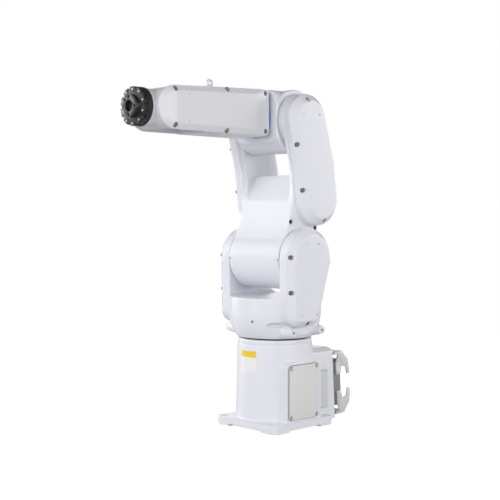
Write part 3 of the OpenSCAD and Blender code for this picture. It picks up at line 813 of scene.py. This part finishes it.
def lofted(name, columns, origin, run, profile):
    """A closed shell on a band.

    A profile point is (distance along Y, way in): below 0 short of the lip, up to run along the
    bevel, and past it over the face.
    """
    middle = sum((top for _, _, top in columns), Vector((0, 0))) / len(columns)

    def place(column, inset):
        bearing, lip, top = column
        if inset < 0:
            return lip + on_bearing(inset, bearing).xy
        if inset > run:
            return top.lerp(middle, (inset - run) / FACE_REACH)
        return lip.lerp(top, inset / run)

    shape = bmesh.new()
    rings = []
    for out, inset in profile:
        ring = [place(column, inset) for column in columns]
        rings.append([shape.verts.new(origin + Vector((x, out, z))) for x, z in ring])
    walls(shape, rings)
    shape.faces.new(rings[0])
    shape.faces.new(rings[-1])
    bmesh.ops.remove_doubles(shape, verts=shape.verts, dist=1e-7)
    bmesh.ops.recalc_face_normals(shape, faces=shape.faces)
    return from_bmesh(name, shape)


def reach_of(node):
    """A cover's side, and how far out along Y its seat and its face lie."""
    low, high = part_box(node)
    return (1 if high.y > 0 else -1), *sorted((abs(low.y), abs(high.y)))


def cover(node, name, columns, origin, rise, run, screw_places, depth, marks=()):
    """A bevelled cover on its band, with pockets for its screws and any centre marks."""
    side, seat, face = reach_of(node)
    lip = sizes().lip
    bends = [(seat, -lip), (seat + lip, 0), (face - rise, 0), (face, run),
             (face, run + FACE_STRIP)]
    rim = [(seat, -2 * lip)] + [tuple(point) for point in eased(bends, sizes().cover_edge)]
    piece = lofted(name, columns, origin, run, [(side * out, inset) for out, inset in rim])

    def bores(places, bottom, radius):
        return [rod(origin + Vector((x, side * bottom, z)),
                    origin + Vector((x, side * (face + POCKET_PAST), z)), radius)
                for x, z in places]

    pockets = bores(screw_places, seat + depth, sizes().pocket_radius)
    dimples = bores(marks, face - CENTRE_MARK_R, CENTRE_MARK_R)
    cut(piece, rods("pockets", pockets + dimples, BORE_SIDES))
    smooth(piece)
    return piece


# Screws, made by Geometry Nodes on points that carry their axis


def screw_tree():
    """Geometry Nodes that put a socket-head screw on each point, along the point's axis."""
    tree = bpy.data.node_groups.new("cap_screws", "GeometryNodeTree")
    tree.interface.new_socket("Geometry", in_out="INPUT", socket_type="NodeSocketGeometry")
    for label in ("Head Radius", "Head Height", "Chamfer", "Socket Radius", "Socket Depth"):
        socket = tree.interface.new_socket(label, in_out="INPUT", socket_type="NodeSocketFloat")
        socket.subtype, socket.default_value = "DISTANCE", 0.002
    tree.interface.new_socket("Finish", in_out="INPUT", socket_type="NodeSocketMaterial")
    tree.interface.new_socket("Geometry", in_out="OUTPUT", socket_type="NodeSocketGeometry")
    given = tree.nodes.new("NodeGroupInput").outputs

    def sum_of(operation, first, second):
        node = tree.nodes.new("ShaderNodeMath")
        node.operation = operation
        join(tree, first, node.inputs[0])
        join(tree, second, node.inputs[1])
        return node.outputs[0]

    def along_z(value):
        return wire(tree, "ShaderNodeCombineXYZ", Z=value).outputs[0]

    half_head = sum_of("MULTIPLY", given["Head Height"], 0.5)
    head = wire(tree, "GeometryNodeMeshCylinder", Vertices=HEAD_SIDES,
                Radius=given["Head Radius"], Depth=given["Head Height"])
    crown = wire(tree, "GeometryNodeExtrudeMesh", Mesh=head.outputs["Mesh"],
                 Selection=head.outputs["Top"], Offset_Scale=given["Chamfer"])
    share = sum_of("SUBTRACT", 1.0, sum_of("DIVIDE", given["Chamfer"], given["Head Radius"]))
    drawn = wire(tree, "GeometryNodeScaleElements", Geometry=crown.outputs["Mesh"],
                 Selection=crown.outputs["Top"], Scale=share)
    key = wire(tree, "GeometryNodeMeshCylinder", Vertices=6, Radius=given["Socket Radius"],
               Depth=sum_of("MULTIPLY", given["Socket Depth"], 2.0))
    sunk = wire(tree, "GeometryNodeTransform", Geometry=key.outputs["Mesh"],
                Translation=along_z(sum_of("ADD", half_head, given["Chamfer"])))
    holed = tree.nodes.new("GeometryNodeMeshBoolean")
    holed.operation, holed.solver = "DIFFERENCE", "EXACT"
    tree.links.new(drawn.outputs[0], holed.inputs[0])
    tree.links.new(sunk.outputs[0], holed.inputs[1])
    stood = wire(tree, "GeometryNodeTransform", Geometry=holed.outputs["Mesh"],
                 Translation=along_z(half_head))
    axis = tree.nodes.new("GeometryNodeInputNamedAttribute")
    axis.data_type = "FLOAT_VECTOR"
    axis.inputs["Name"].default_value = "axis"
    aligned = wire(tree, "FunctionNodeAlignRotationToVector", Vector=axis.outputs["Attribute"])
    aligned.axis = "Z"
    placed = wire(tree, "GeometryNodeInstanceOnPoints", Points=given["Geometry"],
                  Instance=stood.outputs[0], Rotation=aligned.outputs[0])
    real = wire(tree, "GeometryNodeRealizeInstances", Geometry=placed.outputs[0])
    painted = wire(tree, "GeometryNodeSetMaterial", Geometry=real.outputs[0],
                   Material=given["Finish"])
    result = tree.nodes.new("NodeGroupOutput")
    tree.links.new(painted.outputs[0], result.inputs[0])
    return tree


def screws(name, body, places, head, material, slot):
    """Screws of one size on one body. Each place is (seat, axis), and a head (radius, height)."""
    tree = bpy.data.node_groups.get("cap_screws") or screw_tree()
    mesh = bpy.data.meshes.new(name)
    mesh.from_pydata([tuple(seat) for seat, _ in places], [], [])
    axis = mesh.attributes.new("axis", "FLOAT_VECTOR", "POINT")
    for item, (_, direction) in zip(axis.data, places):
        item.vector = Vector(direction).normalized()
    piece = new_object(name, mesh)
    modifier = piece.modifiers.new("screws", "NODES")
    modifier.node_group = tree
    radius, height = head
    given = {
        "Head Radius": radius, "Head Height": height, "Chamfer": 0.15 * radius,
        "Socket Radius": 0.55 * radius, "Socket Depth": 0.6 * height,
        "Finish": FINISHES[material]}
    for item in tree.interface.items_tree:
        if item.in_out == "INPUT" and item.name in given:
            modifier[item.identifier] = given[item.name]
    bake(piece)
    smooth(piece)
    dress(piece, body, slot, material)


# Operators, one for each group of pieces


class ARM_OT_base(bpy.types.Operator):
    """Make the base: its casting, column ring, side cover and rear panel"""

    bl_idname = "arm.base"
    bl_label = "Base"

    def execute(self, context):
        size = sizes()
        low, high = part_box("base_cover")
        top = low.z - PLATE_BELOW_COVER
        corners = [(x * MOUNT_REACH, y * MOUNT_REACH) for x in (-1, 1) for y in (-1, 1)]
        plugs = [(turned, *rod((x, y, PLUG_SHORT), (x, y, top - PLUG_SHORT),
                               size.mount_radius + MOUNT_PLUG)) for x, y in corners]
        casting = soft_casting(
            "base_casting", "base_cast", size.cast_voxel, BASE_ROUNDS, plugs)
        hole, seat = size.mount_radius, top - SPOT_DEPTH - MOUNT_START
        profile = ((0, hole), (seat, hole), (seat, SPOT_R), (seat + SPOT_CUT, SPOT_R))
        cut(casting, rods("corner_bores", [
            ((x, y, MOUNT_START), (0, 0, 1), profile) for x, y in corners]))

        step = bmesh.new()
        foot, head = COLUMN_HIGH_Z, COLUMN_HIGH_Z + STEP_CUT_H
        notch, groove = COLUMN_RING_R - STEP_GROOVE_DEPTH, COLUMN_HIGH_Z + STEP_GROOVE_H
        revolved(step, (
            (notch, foot), (STEP_CUT_R, foot), (STEP_CUT_R, head), (COLUMN_RING_R, head),
            (COLUMN_RING_R, groove), (notch, groove)))
        cut(casting, from_bmesh("column_step", step))
        smooth(casting, CAST_SMOOTH)
        dress(casting, "base", "white_paint", "white", "base_casting")

        edged_piece("turn_bearing", "turn_ring", RING_EDGE, "base", "seam_black", "seal")
        edged_piece(
            "base_cover", "side_cover", COVER_PLATE_EDGE, "base", "cover_grey", "grey", steps=3)
        # A black sheet behind the side cover shows round its edge: painted shade of the seam.
        rim = Vector((SEAM_SHADE_RIM, 0, SEAM_SHADE_RIM))
        seam_shade = slab(
            "side_cover_seam_shade", low - rim - Vector((0, SEAM_SHADE_SUNK, 0)),
            Vector((high.x, low.y + SEAM_SHADE_PROUD, high.z)) + rim, SEAM_SHADE_CORNER)
        dress(seam_shade, "base", "seam_black", "seal")
        edged_piece(
            "rear_panel", "back_panel", PANEL_EDGE, "base", "white_paint", "white", steps=3)
        return {"FINISHED"}


class ARM_OT_socket(bpy.types.Operator):
    """Make the cable socket: its shell, contact carrier, contacts and latches"""

    bl_idname = "arm.socket"
    bl_label = "Cable Socket"

    def execute(self, context):
        edged_piece("socket_shell", "socket_hood", PANEL_EDGE, "base", "socket_grey", "socket")
        edged_piece(
            "socket_insert", "contact_block", INSERT_EDGE, "base", "insert_black", "insert")
        low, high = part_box("socket_insert")
        pins = []
        for up in between(PIN_ROW_MARGIN, 1 - PIN_ROW_MARGIN, PIN_ROWS - 1):
            for across in between(PIN_COLUMN_MARGIN, 1 - PIN_COLUMN_MARGIN, PIN_COLUMNS - 1):
                seat = (low.x + PIN_LEAN * up + PIN_SUNK, low.y + (high.y - low.y) * across,
                        low.z + (high.z - low.z) * up)
                pins.append((seat, (-1, 0, 0)))
        screws("contacts", "base", pins, PIN_HEAD, "contact", "latch_steel")
        for name in ("latch_upper", "latch_lower"):
            edged_piece(name, name + "_lever", RING_EDGE, name, "latch_steel", "zinc")
        return {"FINISHED"}


class ARM_OT_turret(bpy.types.Operator):
    """Make the turret: its casting with the threaded bosses, and the two shoulder covers"""

    bl_idname = "arm.turret"
    bl_label = "Turret"

    def execute(self, context):
        threads = [(x * BOSS_X, s) for x in (-1, 1) for s in (-1, 1)]
        plugs = [(turned, *rod((x, s * (BOSS_FACE - THREAD_PLUG_DEPTH), BOSS_Z),
                               (x, s * (BOSS_FACE - PLUG_SHORT), BOSS_Z), THREAD_PLUG_R))
                 for x, s in threads]
        heights = [POCKET_Z + FILL_LAYER * k for k in range(-FILL_LAYERS, FILL_LAYERS + 1)]
        skin = [(BOWL_MIDDLE + math.sqrt(BOWL_BEND ** 2 - (BOWL_TOP - z) ** 2), z)
                for z in heights]
        inside = [(FILL_INNER_R, heights[-1]), (FILL_INNER_R, heights[0])]
        ends = [POCKET_BEARING + turn for turn in FILL_TURNS]
        plugs.append((revolved, skin + inside, *ends, FILL_STEPS))
        casting = soft_casting(
            "turret_casting", "turret_cast", sizes().cast_voxel, TURRET_ROUNDS, plugs)

        faced = THREAD_DEPTH - BOSS_FACING
        profile = ((0, THREAD_R), (faced, THREAD_R), (faced, BOSS_FLAT_R),
                   (faced + BOSS_CUT, BOSS_FLAT_R))
        bores = [((x, s * (BOSS_FACE - THREAD_DEPTH), BOSS_Z), (0, s, 0), profile)
                 for x, s in threads]
        bores.append(rod(
            on_bearing(BOWL_R - BOWL_HOLE_DEPTH, BOWL_HOLE_BEARING, BOWL_HOLE_Z),
            on_bearing(BOWL_R + BOWL_HOLE_PAST, BOWL_HOLE_BEARING, BOWL_HOLE_Z), BOWL_HOLE_R))
        span = POCKET_STEPS - 1 + 2 * POCKET_TIP
        turns = [math.pi * (k + POCKET_TIP) / span for k in range(POCKET_STEPS)]
        eye = [(-POCKET_HALF * math.cos(turn), POCKET_R * math.sin(turn)) for turn in turns]
        bores.append((on_bearing(POCKET_REACH, POCKET_BEARING, POCKET_Z),
                      on_bearing(1, POCKET_BEARING + math.pi / 2), eye))
        cut(casting, rods("thread_bores", bores, BORE_SIDES))
        smooth(casting, CAST_SMOOTH)
        dress(casting, "turret", "white_paint", "white", "turret_casting")

        band = inset_band(EAR, EAR_BEVEL)
        for node, name, _ in EAR_COVERS:
            shell = cover(
                node, name, band, SHOULDER, EAR_BEVEL, EAR_BEVEL, EAR_SCREWS, EAR_SEAT)
            dress(shell, "turret", "white_paint", "white", node)
        return {"FINISHED"}


class ARM_OT_upper_arm(bpy.types.Operator):
    """Make the upper arm: its casting, the belt cover and the plain cover"""

    bl_idname = "arm.upper_arm"
    bl_label = "Upper Arm"

    def execute(self, context):
        voxel = UPPER_ARM_GRAIN * sizes().cast_voxel
        casting = soft_casting("upper_arm_casting", "upper_arm_cast", voxel, UPPER_ARM_ROUNDS)
        bores = []
        for s in (-1, 1):
            bores += [rod((x, s * (NECK_SIDE - BOLT_DEPTH), SHOULDER.z + z),
                          (x, s * (NECK_SIDE + BOLT_PAST), SHOULDER.z + z), NECK_BORE_R)
                      for x, z in NECK_BOLTS]
            bores.append(rod((DRUM_FRONT - BOLT_DEPTH, s * DRUM_HOLE_Y, SHOULDER.z),
                             (DRUM_FRONT + BOLT_PAST, s * DRUM_HOLE_Y, SHOULDER.z), DRUM_HOLE_R))
        cut(casting, rods("bolt_bores", bores, BORE_SIDES))
        smooth(casting, CAST_SMOOTH)
        dress(casting, "upper_arm", "white_paint", "white", "upper_arm_casting")

        bend = hollow(ARM_LOBE, ARM_BEND, ARM_HEAD, ARM_HOLLOW)
        band = inset_band((ARM_HEAD, ARM_BEND, ARM_LOBE, bend), ARM_BEVEL)
        for node, name, _ in ARM_COVERS:
            shell = cover(
                node, name, band, SHOULDER, ARM_BEVEL, ARM_BEVEL, ARM_SCREWS, ARM_SEAT)
            dress(shell, "upper_arm", "white_paint", "white", node)
        return {"FINISHED"}


class ARM_OT_forearm(bpy.types.Operator):
    """Make the elbow, its ring, the forearm with its covers and the small eye on top"""

    bl_idname = "arm.forearm"
    bl_label = "Elbow and Forearm"

    def execute(self, context):
        elbow = soft_casting("elbow_housing", "elbow_cast", sizes().cast_voxel, ELBOW_ROUNDS)
        dress(elbow, "elbow", "white_paint", "white", "elbow_housing")
        ring = edged("forearm_ring", "roll_ring", RING_EDGE, 2)
        drawn = Matrix.Diagonal((1, RING_DRAW, RING_DRAW, 1))
        ring.data.transform(Matrix.Translation(ROLL) @ drawn @ Matrix.Translation(-ROLL))
        dress(ring, "elbow", "ring_blue", "blue", "forearm_ring")
        casting = soft_casting("forearm_casting", "forearm_cast", FOREARM_VOXEL, FOREARM_ROUNDS)
        dress(casting, "forearm", "white_paint", "white", "forearm_casting")
        band = bridged_band(FOREARM_LIP, FOREARM_FACE)
        for node, name in FOREARM_COVERS:
            shell = cover(node, name, band, FOREARM_AXIS, FOREARM_RISE, FOREARM_BEVEL,
                          FOREARM_SCREWS, FOREARM_SEAT, FOREARM_MARKS)
            dress(shell, "forearm", "cover_grey", "forearm", node)
        edged_piece("cable_eye", "top_eye", FINE_EDGE, "forearm", "latch_steel", "zinc")
        return {"FINISHED"}


class ARM_OT_wrist(bpy.types.Operator):
    """Make the wrist, its seal and the tool flange"""

    bl_idname = "arm.wrist"
    bl_label = "Wrist and Flange"

    def execute(self, context):
        housing = soft_casting("wrist_housing", "wrist_cast", WRIST_VOXEL, WRIST_ROUNDS)
        dress(housing, "wrist", "cover_grey", "forearm", "wrist_housing")
        edged_piece("wrist_ring", "wrist_seal", RING_EDGE, "wrist", "seam_black", "seal")
        edged_piece("tool_flange", "tool_plate", FINE_EDGE, "flange", "flange_black", "flange")
        return {"FINISHED"}


class ARM_OT_screws(bpy.types.Operator):
    """Put the screws in the covers, the neck, the flange's rim and the base"""

    bl_idname = "arm.screws"
    bl_label = "Screws"

    def execute(self, context):
        head = (sizes().screw_radius, COVER_HEAD_H)
        low_head = (sizes().screw_radius, COVER_HEAD_H * FOREARM_HEAD_SHARE)
        # Black discs almost as wide as the pockets, under the heads: painted shade of the pockets
        # round the screws.
        shade_disc = (sizes().pocket_radius - SHADE_DISC_GAP, SHADE_DISC_T)
        for body, covers, places, origin, depth, kind in (
                ("turret", EAR_COVERS, EAR_SCREWS, SHOULDER, EAR_SEAT, head),
                ("upper_arm", ARM_COVERS, ARM_SCREWS, SHOULDER, ARM_SEAT, head),
                ("forearm", FOREARM_COVERS, FOREARM_SCREWS, FOREARM_AXIS, FOREARM_SEAT, low_head)):
            seats = []
            for node, *_ in covers:
                side, seat, _ = reach_of(node)
                seats += [((origin.x + x, side * (seat + depth), origin.z + z), (0, side, 0))
                          for x, z in places]
            screws(f"{body}_screws", body, seats, kind, "steel", "latch_steel")
            # Painted shade: black discs on the pockets' floors round the heads.
            screws(f"{body}_shade_discs", body, seats, shade_disc, "seal", "seam_black")

        neck = [((x, s * (NECK_SIDE - BOLT_DEPTH), SHOULDER.z + z), (0, s, 0))
                for x, z in NECK_BOLTS for s in (-1, 1)]
        # The neck bolts take the near-black finish, which is painted shade.
        screws("neck_bolts", "upper_arm", neck, NECK_HEAD, "screw", "latch_steel")

        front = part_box("tool_flange")[0].x + FLANGE_SEAT
        turns = [math.tau * (k + 0.5) / FLANGE_SCREWS for k in range(FLANGE_SCREWS)]
        ring = [((front, WRIST.y + FLANGE_SCREW_R * math.cos(turn),
                  WRIST.z + FLANGE_SCREW_R * math.sin(turn)), (1, 0, 0)) for turn in turns]
        screws("flange_screws", "flange", ring, FLANGE_HEAD, "bright", "latch_steel")

        low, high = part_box("base_cover")
        corners = [((x, high.y - SIDE_COVER_SUNK, z), (0, 1, 0))
                   for x in (low.x + SIDE_COVER_INSET, high.x - SIDE_COVER_INSET)
                   for z in (low.z + SIDE_COVER_INSET, high.z - SIDE_COVER_INSET)]
        screws("side_cover_screws", "base", corners, SIDE_COVER_HEAD, "bright", "latch_steel")
        screws("side_cover_shade_discs", "base", corners, SIDE_COVER_WASHER, "seal", "seam_black")

        low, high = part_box("rear_panel")
        outward = (-math.cos(PANEL_LEAN), 0, math.sin(PANEL_LEAN))
        run = high.x - low.x - PANEL_T
        panel = [((low.x + run * share - PANEL_SUNK, y, low.z + share * (high.z - low.z)), outward)
                 for share in PANEL_SHARES for y in (low.y + PANEL_INSET, high.y - PANEL_INSET)]
        screws("rear_panel_screws", "base", panel, PANEL_HEAD, "bright", "latch_steel")
        return {"FINISHED"}


def turning_marks(name, body, node, places):
    """Raised plus and minus on a cover's face, in a darker grey that is painted shade."""
    side, _, face = reach_of(node)
    low, high = sorted((side * (face - TURN_SUNK), side * (face + TURN_PROUD)))
    shape = bmesh.new()

    def bar(x, z, half_x, half_z):
        block(shape, Vector((x - half_x, low, z - half_z)), Vector((x + half_x, high, z + half_z)))

    for x, z, half in places:
        bar(x - half, z, TURN_ARM, TURN_WIDTH / 2)
        bar(x - half, z, TURN_WIDTH / 2, TURN_ARM)
        bar(x + half, z, TURN_ARM, TURN_WIDTH / 2)
    piece = from_bmesh(name, shape)
    smooth(piece)
    dress(piece, body, "cover_grey", "mark")


def column_film(name, height):
    """A thin closed film that lies on the front of the tapered column."""
    shape = bmesh.new()

    def skin(out):
        rows = []
        for z in between(STICKER_Z - height / 2, STICKER_Z + height / 2, STICKER_UP):
            share = (z - COLUMN_LOW_Z) / (COLUMN_HIGH_Z - COLUMN_LOW_Z)
            radius = COLUMN_LOW_R + (COLUMN_HIGH_R - COLUMN_LOW_R) * share + out
            rows.append([shape.verts.new(on_bearing(radius, bearing, z))
                         for bearing in between(*STICKER_TURNS, STICKER_ACROSS)])
        for low, high in zip(rows, rows[1:]):
            for k in range(STICKER_ACROSS):
                shape.faces.new((low[k], low[k + 1], high[k + 1], high[k]))
        return (rows[0][:-1] + [row[-1] for row in rows[:-1]]
                + rows[-1][:0:-1] + [row[0] for row in rows[:0:-1]])

    walls(shape, [skin(STICKER_LIFT), skin(STICKER_LIFT + STICKER_FILM)])
    bmesh.ops.recalc_face_normals(shape, faces=shape.faces)
    piece = from_bmesh(name, shape)
    smooth(piece)
    return piece


class ARM_OT_labels(bpy.types.Operator):
    """Put the plain sticker on the column, the bare plate on the rear box and the covers' marks"""

    bl_idname = "arm.labels"
    bl_label = "Sticker, Plate and Marks"

    def execute(self, context):
        for node, _, name in EAR_COVERS:
            turning_marks(name, "turret", node, EAR_TURNS)
        for node, _, name in ARM_COVERS:
            turning_marks(name, "upper_arm", node, ARM_TURNS)
        sticker = column_film("column_sticker", sizes().sticker_height)
        dress(sticker, "base", "cover_grey", "sticker")

        half = Vector((PLATE_HALF_W, 0, sizes().plate_height / 2))
        # A black sheet behind the plate, a little larger than it, is painted shade round the
        # plate's edges.
        rim = half + Vector((PLATE_SHADE_RIM, 0, PLATE_SHADE_RIM))
        plate_shade = slab(
            "plate_shade_sheet", PLATE_CENTRE - rim - Vector((0, PLATE_SHADE_SUNK, 0)),
            PLATE_CENTRE + rim + Vector((0, PLATE_SHADE_PROUD, 0)), PLATE_SHADE_CORNER)
        dress(plate_shade, "base", "seam_black", "seal")
        plate = slab("bare_plate", PLATE_CENTRE - half,
                     PLATE_CENTRE + half + Vector((0, PLATE_T, 0)), PLATE_CORNER)
        dress(plate, "base", "latch_steel", "plate")
        return {"FINISHED"}


def seen_first(tree, plain, paper, end):
    """Shows the camera a paper-white shader where light itself meets a plain one."""
    mixed = tree.nodes.new("ShaderNodeMixShader")
    seen = tree.nodes.new("ShaderNodeLightPath").outputs["Is Camera Ray"]
    for socket, output in zip(mixed.inputs, (seen, plain, paper)):
        tree.links.new(output, socket)
    tree.links.new(mixed.outputs[0], tree.nodes[end].inputs["Surface"])


def lay_floor():
    """A pale disc that glows for the camera, so that only a faint shadow shows on it."""
    shape = bmesh.new()
    bmesh.ops.create_circle(shape, cap_ends=True, segments=96, radius=FLOOR_R)
    floor = from_bmesh("floor", shape)
    material, tree, shader, place = new_material("pale_floor")
    tone = tint(tree, noise(tree, place, scale=3.0), *FLOOR_TONES)
    tree.links.new(tone, shader.inputs["Base Color"])
    shader.inputs["Roughness"].default_value = 0.9
    shader.inputs["Specular IOR Level"].default_value = 0.1
    glow = wire(tree, "ShaderNodeEmission", Strength=finish().paper)
    lit = tree.nodes.new("ShaderNodeAddShader")
    tree.links.new(shader.outputs[0], lit.inputs[0])
    tree.links.new(glow.outputs[0], lit.inputs[1])
    seen_first(tree, shader.outputs[0], lit.outputs[0], "Material Output")
    floor.data.materials.append(material)


def hang_lamps(scene):
    """Large round lamps at a distance, each turned to a point on the arm's axis."""
    for name, bearing, height, share, aim, spread in LAMPS:
        rise = math.radians(height)
        outward = on_bearing(math.cos(rise), math.radians(bearing), math.sin(rise))
        data = bpy.data.lights.new(name, "AREA")
        data.shape, data.size, data.energy = "DISK", LAMP_SIZE, share * finish().lamp_power
        data.spread = math.radians(spread)
        lamp = bpy.data.objects.new(name, data)
        lamp.location = Vector((0, 0, aim)) + LAMP_REACH * outward
        lamp.rotation_euler = outward.to_track_quat("Z", "Y").to_euler()
        scene.collection.objects.link(lamp)


def light_world(scene):
    """Faint even light from all round, seen by the camera as white paper."""
    world = bpy.data.worlds.new("studio")
    world.use_nodes = True
    tree = world.node_tree
    even = tree.nodes["Background"]
    even.inputs["Color"].default_value = WHITE
    even.inputs["Strength"].default_value = finish().ambient
    paper = wire(tree, "ShaderNodeBackground", Color=WHITE, Strength=1.0)
    seen_first(tree, even.outputs[0], paper.outputs[0], "World Output")
    scene.world = world
    scene.view_settings.view_transform = "Standard"


def set_camera(scene):
    """The photograph's view."""
    data = bpy.data.cameras.new("photo_camera")
    data.sensor_width = SENSOR
    data.lens = SENSOR * PHOTO_FOCAL / PHOTO_SIDE
    data.clip_end = CLIP_END
    camera = bpy.data.objects.new("photo_camera", data)
    outward = Vector((math.sin(CAMERA_BEARING), math.cos(CAMERA_BEARING), 0))
    look = -outward * math.cos(CAMERA_DIP) - Vector((0, 0, math.sin(CAMERA_DIP)))
    camera.location = CAMERA_PLACE
    camera.rotation_euler = look.to_track_quat("-Z", "Y").to_euler()
    scene.collection.objects.link(camera)
    scene.camera = camera


class ARM_OT_stage(bpy.types.Operator):
    """Set the pale floor, the soft studio light and the photograph's camera"""

    bl_idname = "arm.stage"
    bl_label = "Studio"

    def execute(self, context):
        lay_floor()
        hang_lamps(context.scene)
        light_world(context.scene)
        set_camera(context.scene)
        return {"FINISHED"}


class ARM_PT_panel(bpy.types.Panel):
    """Sizes, finishes and steps of the arm"""

    bl_label = "Robot Arm"
    bl_space_type = "VIEW_3D"
    bl_region_type = "UI"
    bl_category = "Robot Arm"

    def draw(self, context):
        for group in (context.scene.arm_sizes, context.scene.arm_finish):
            box = self.layout.box()
            for name in group.__annotations__:
                box.prop(group, name)
        for step in STEPS:
            self.layout.operator(step.bl_idname)


STEPS = (
    ARM_OT_base, ARM_OT_socket, ARM_OT_turret, ARM_OT_upper_arm, ARM_OT_forearm, ARM_OT_wrist,
    ARM_OT_screws, ARM_OT_labels, ARM_OT_stage)
CLASSES = (ArmSizes, ArmFinish, *STEPS, ARM_PT_panel)


def register():
    for item in CLASSES:
        bpy.utils.register_class(item)
    bpy.types.Scene.arm_sizes = PointerProperty(type=ArmSizes)
    bpy.types.Scene.arm_finish = PointerProperty(type=ArmFinish)


def unregister():
    del bpy.types.Scene.arm_finish
    del bpy.types.Scene.arm_sizes
    for item in reversed(CLASSES):
        bpy.utils.unregister_class(item)


def main():
    register()
    make_finishes()
    bpy.ops.arm.base()
    bpy.ops.arm.socket()
    bpy.ops.arm.turret()
    bpy.ops.arm.upper_arm()
    bpy.ops.arm.forearm()
    bpy.ops.arm.wrist()
    bpy.ops.arm.screws()
    bpy.ops.arm.labels()
    bpy.ops.arm.stage()


if __name__ == "__main__":
    main()
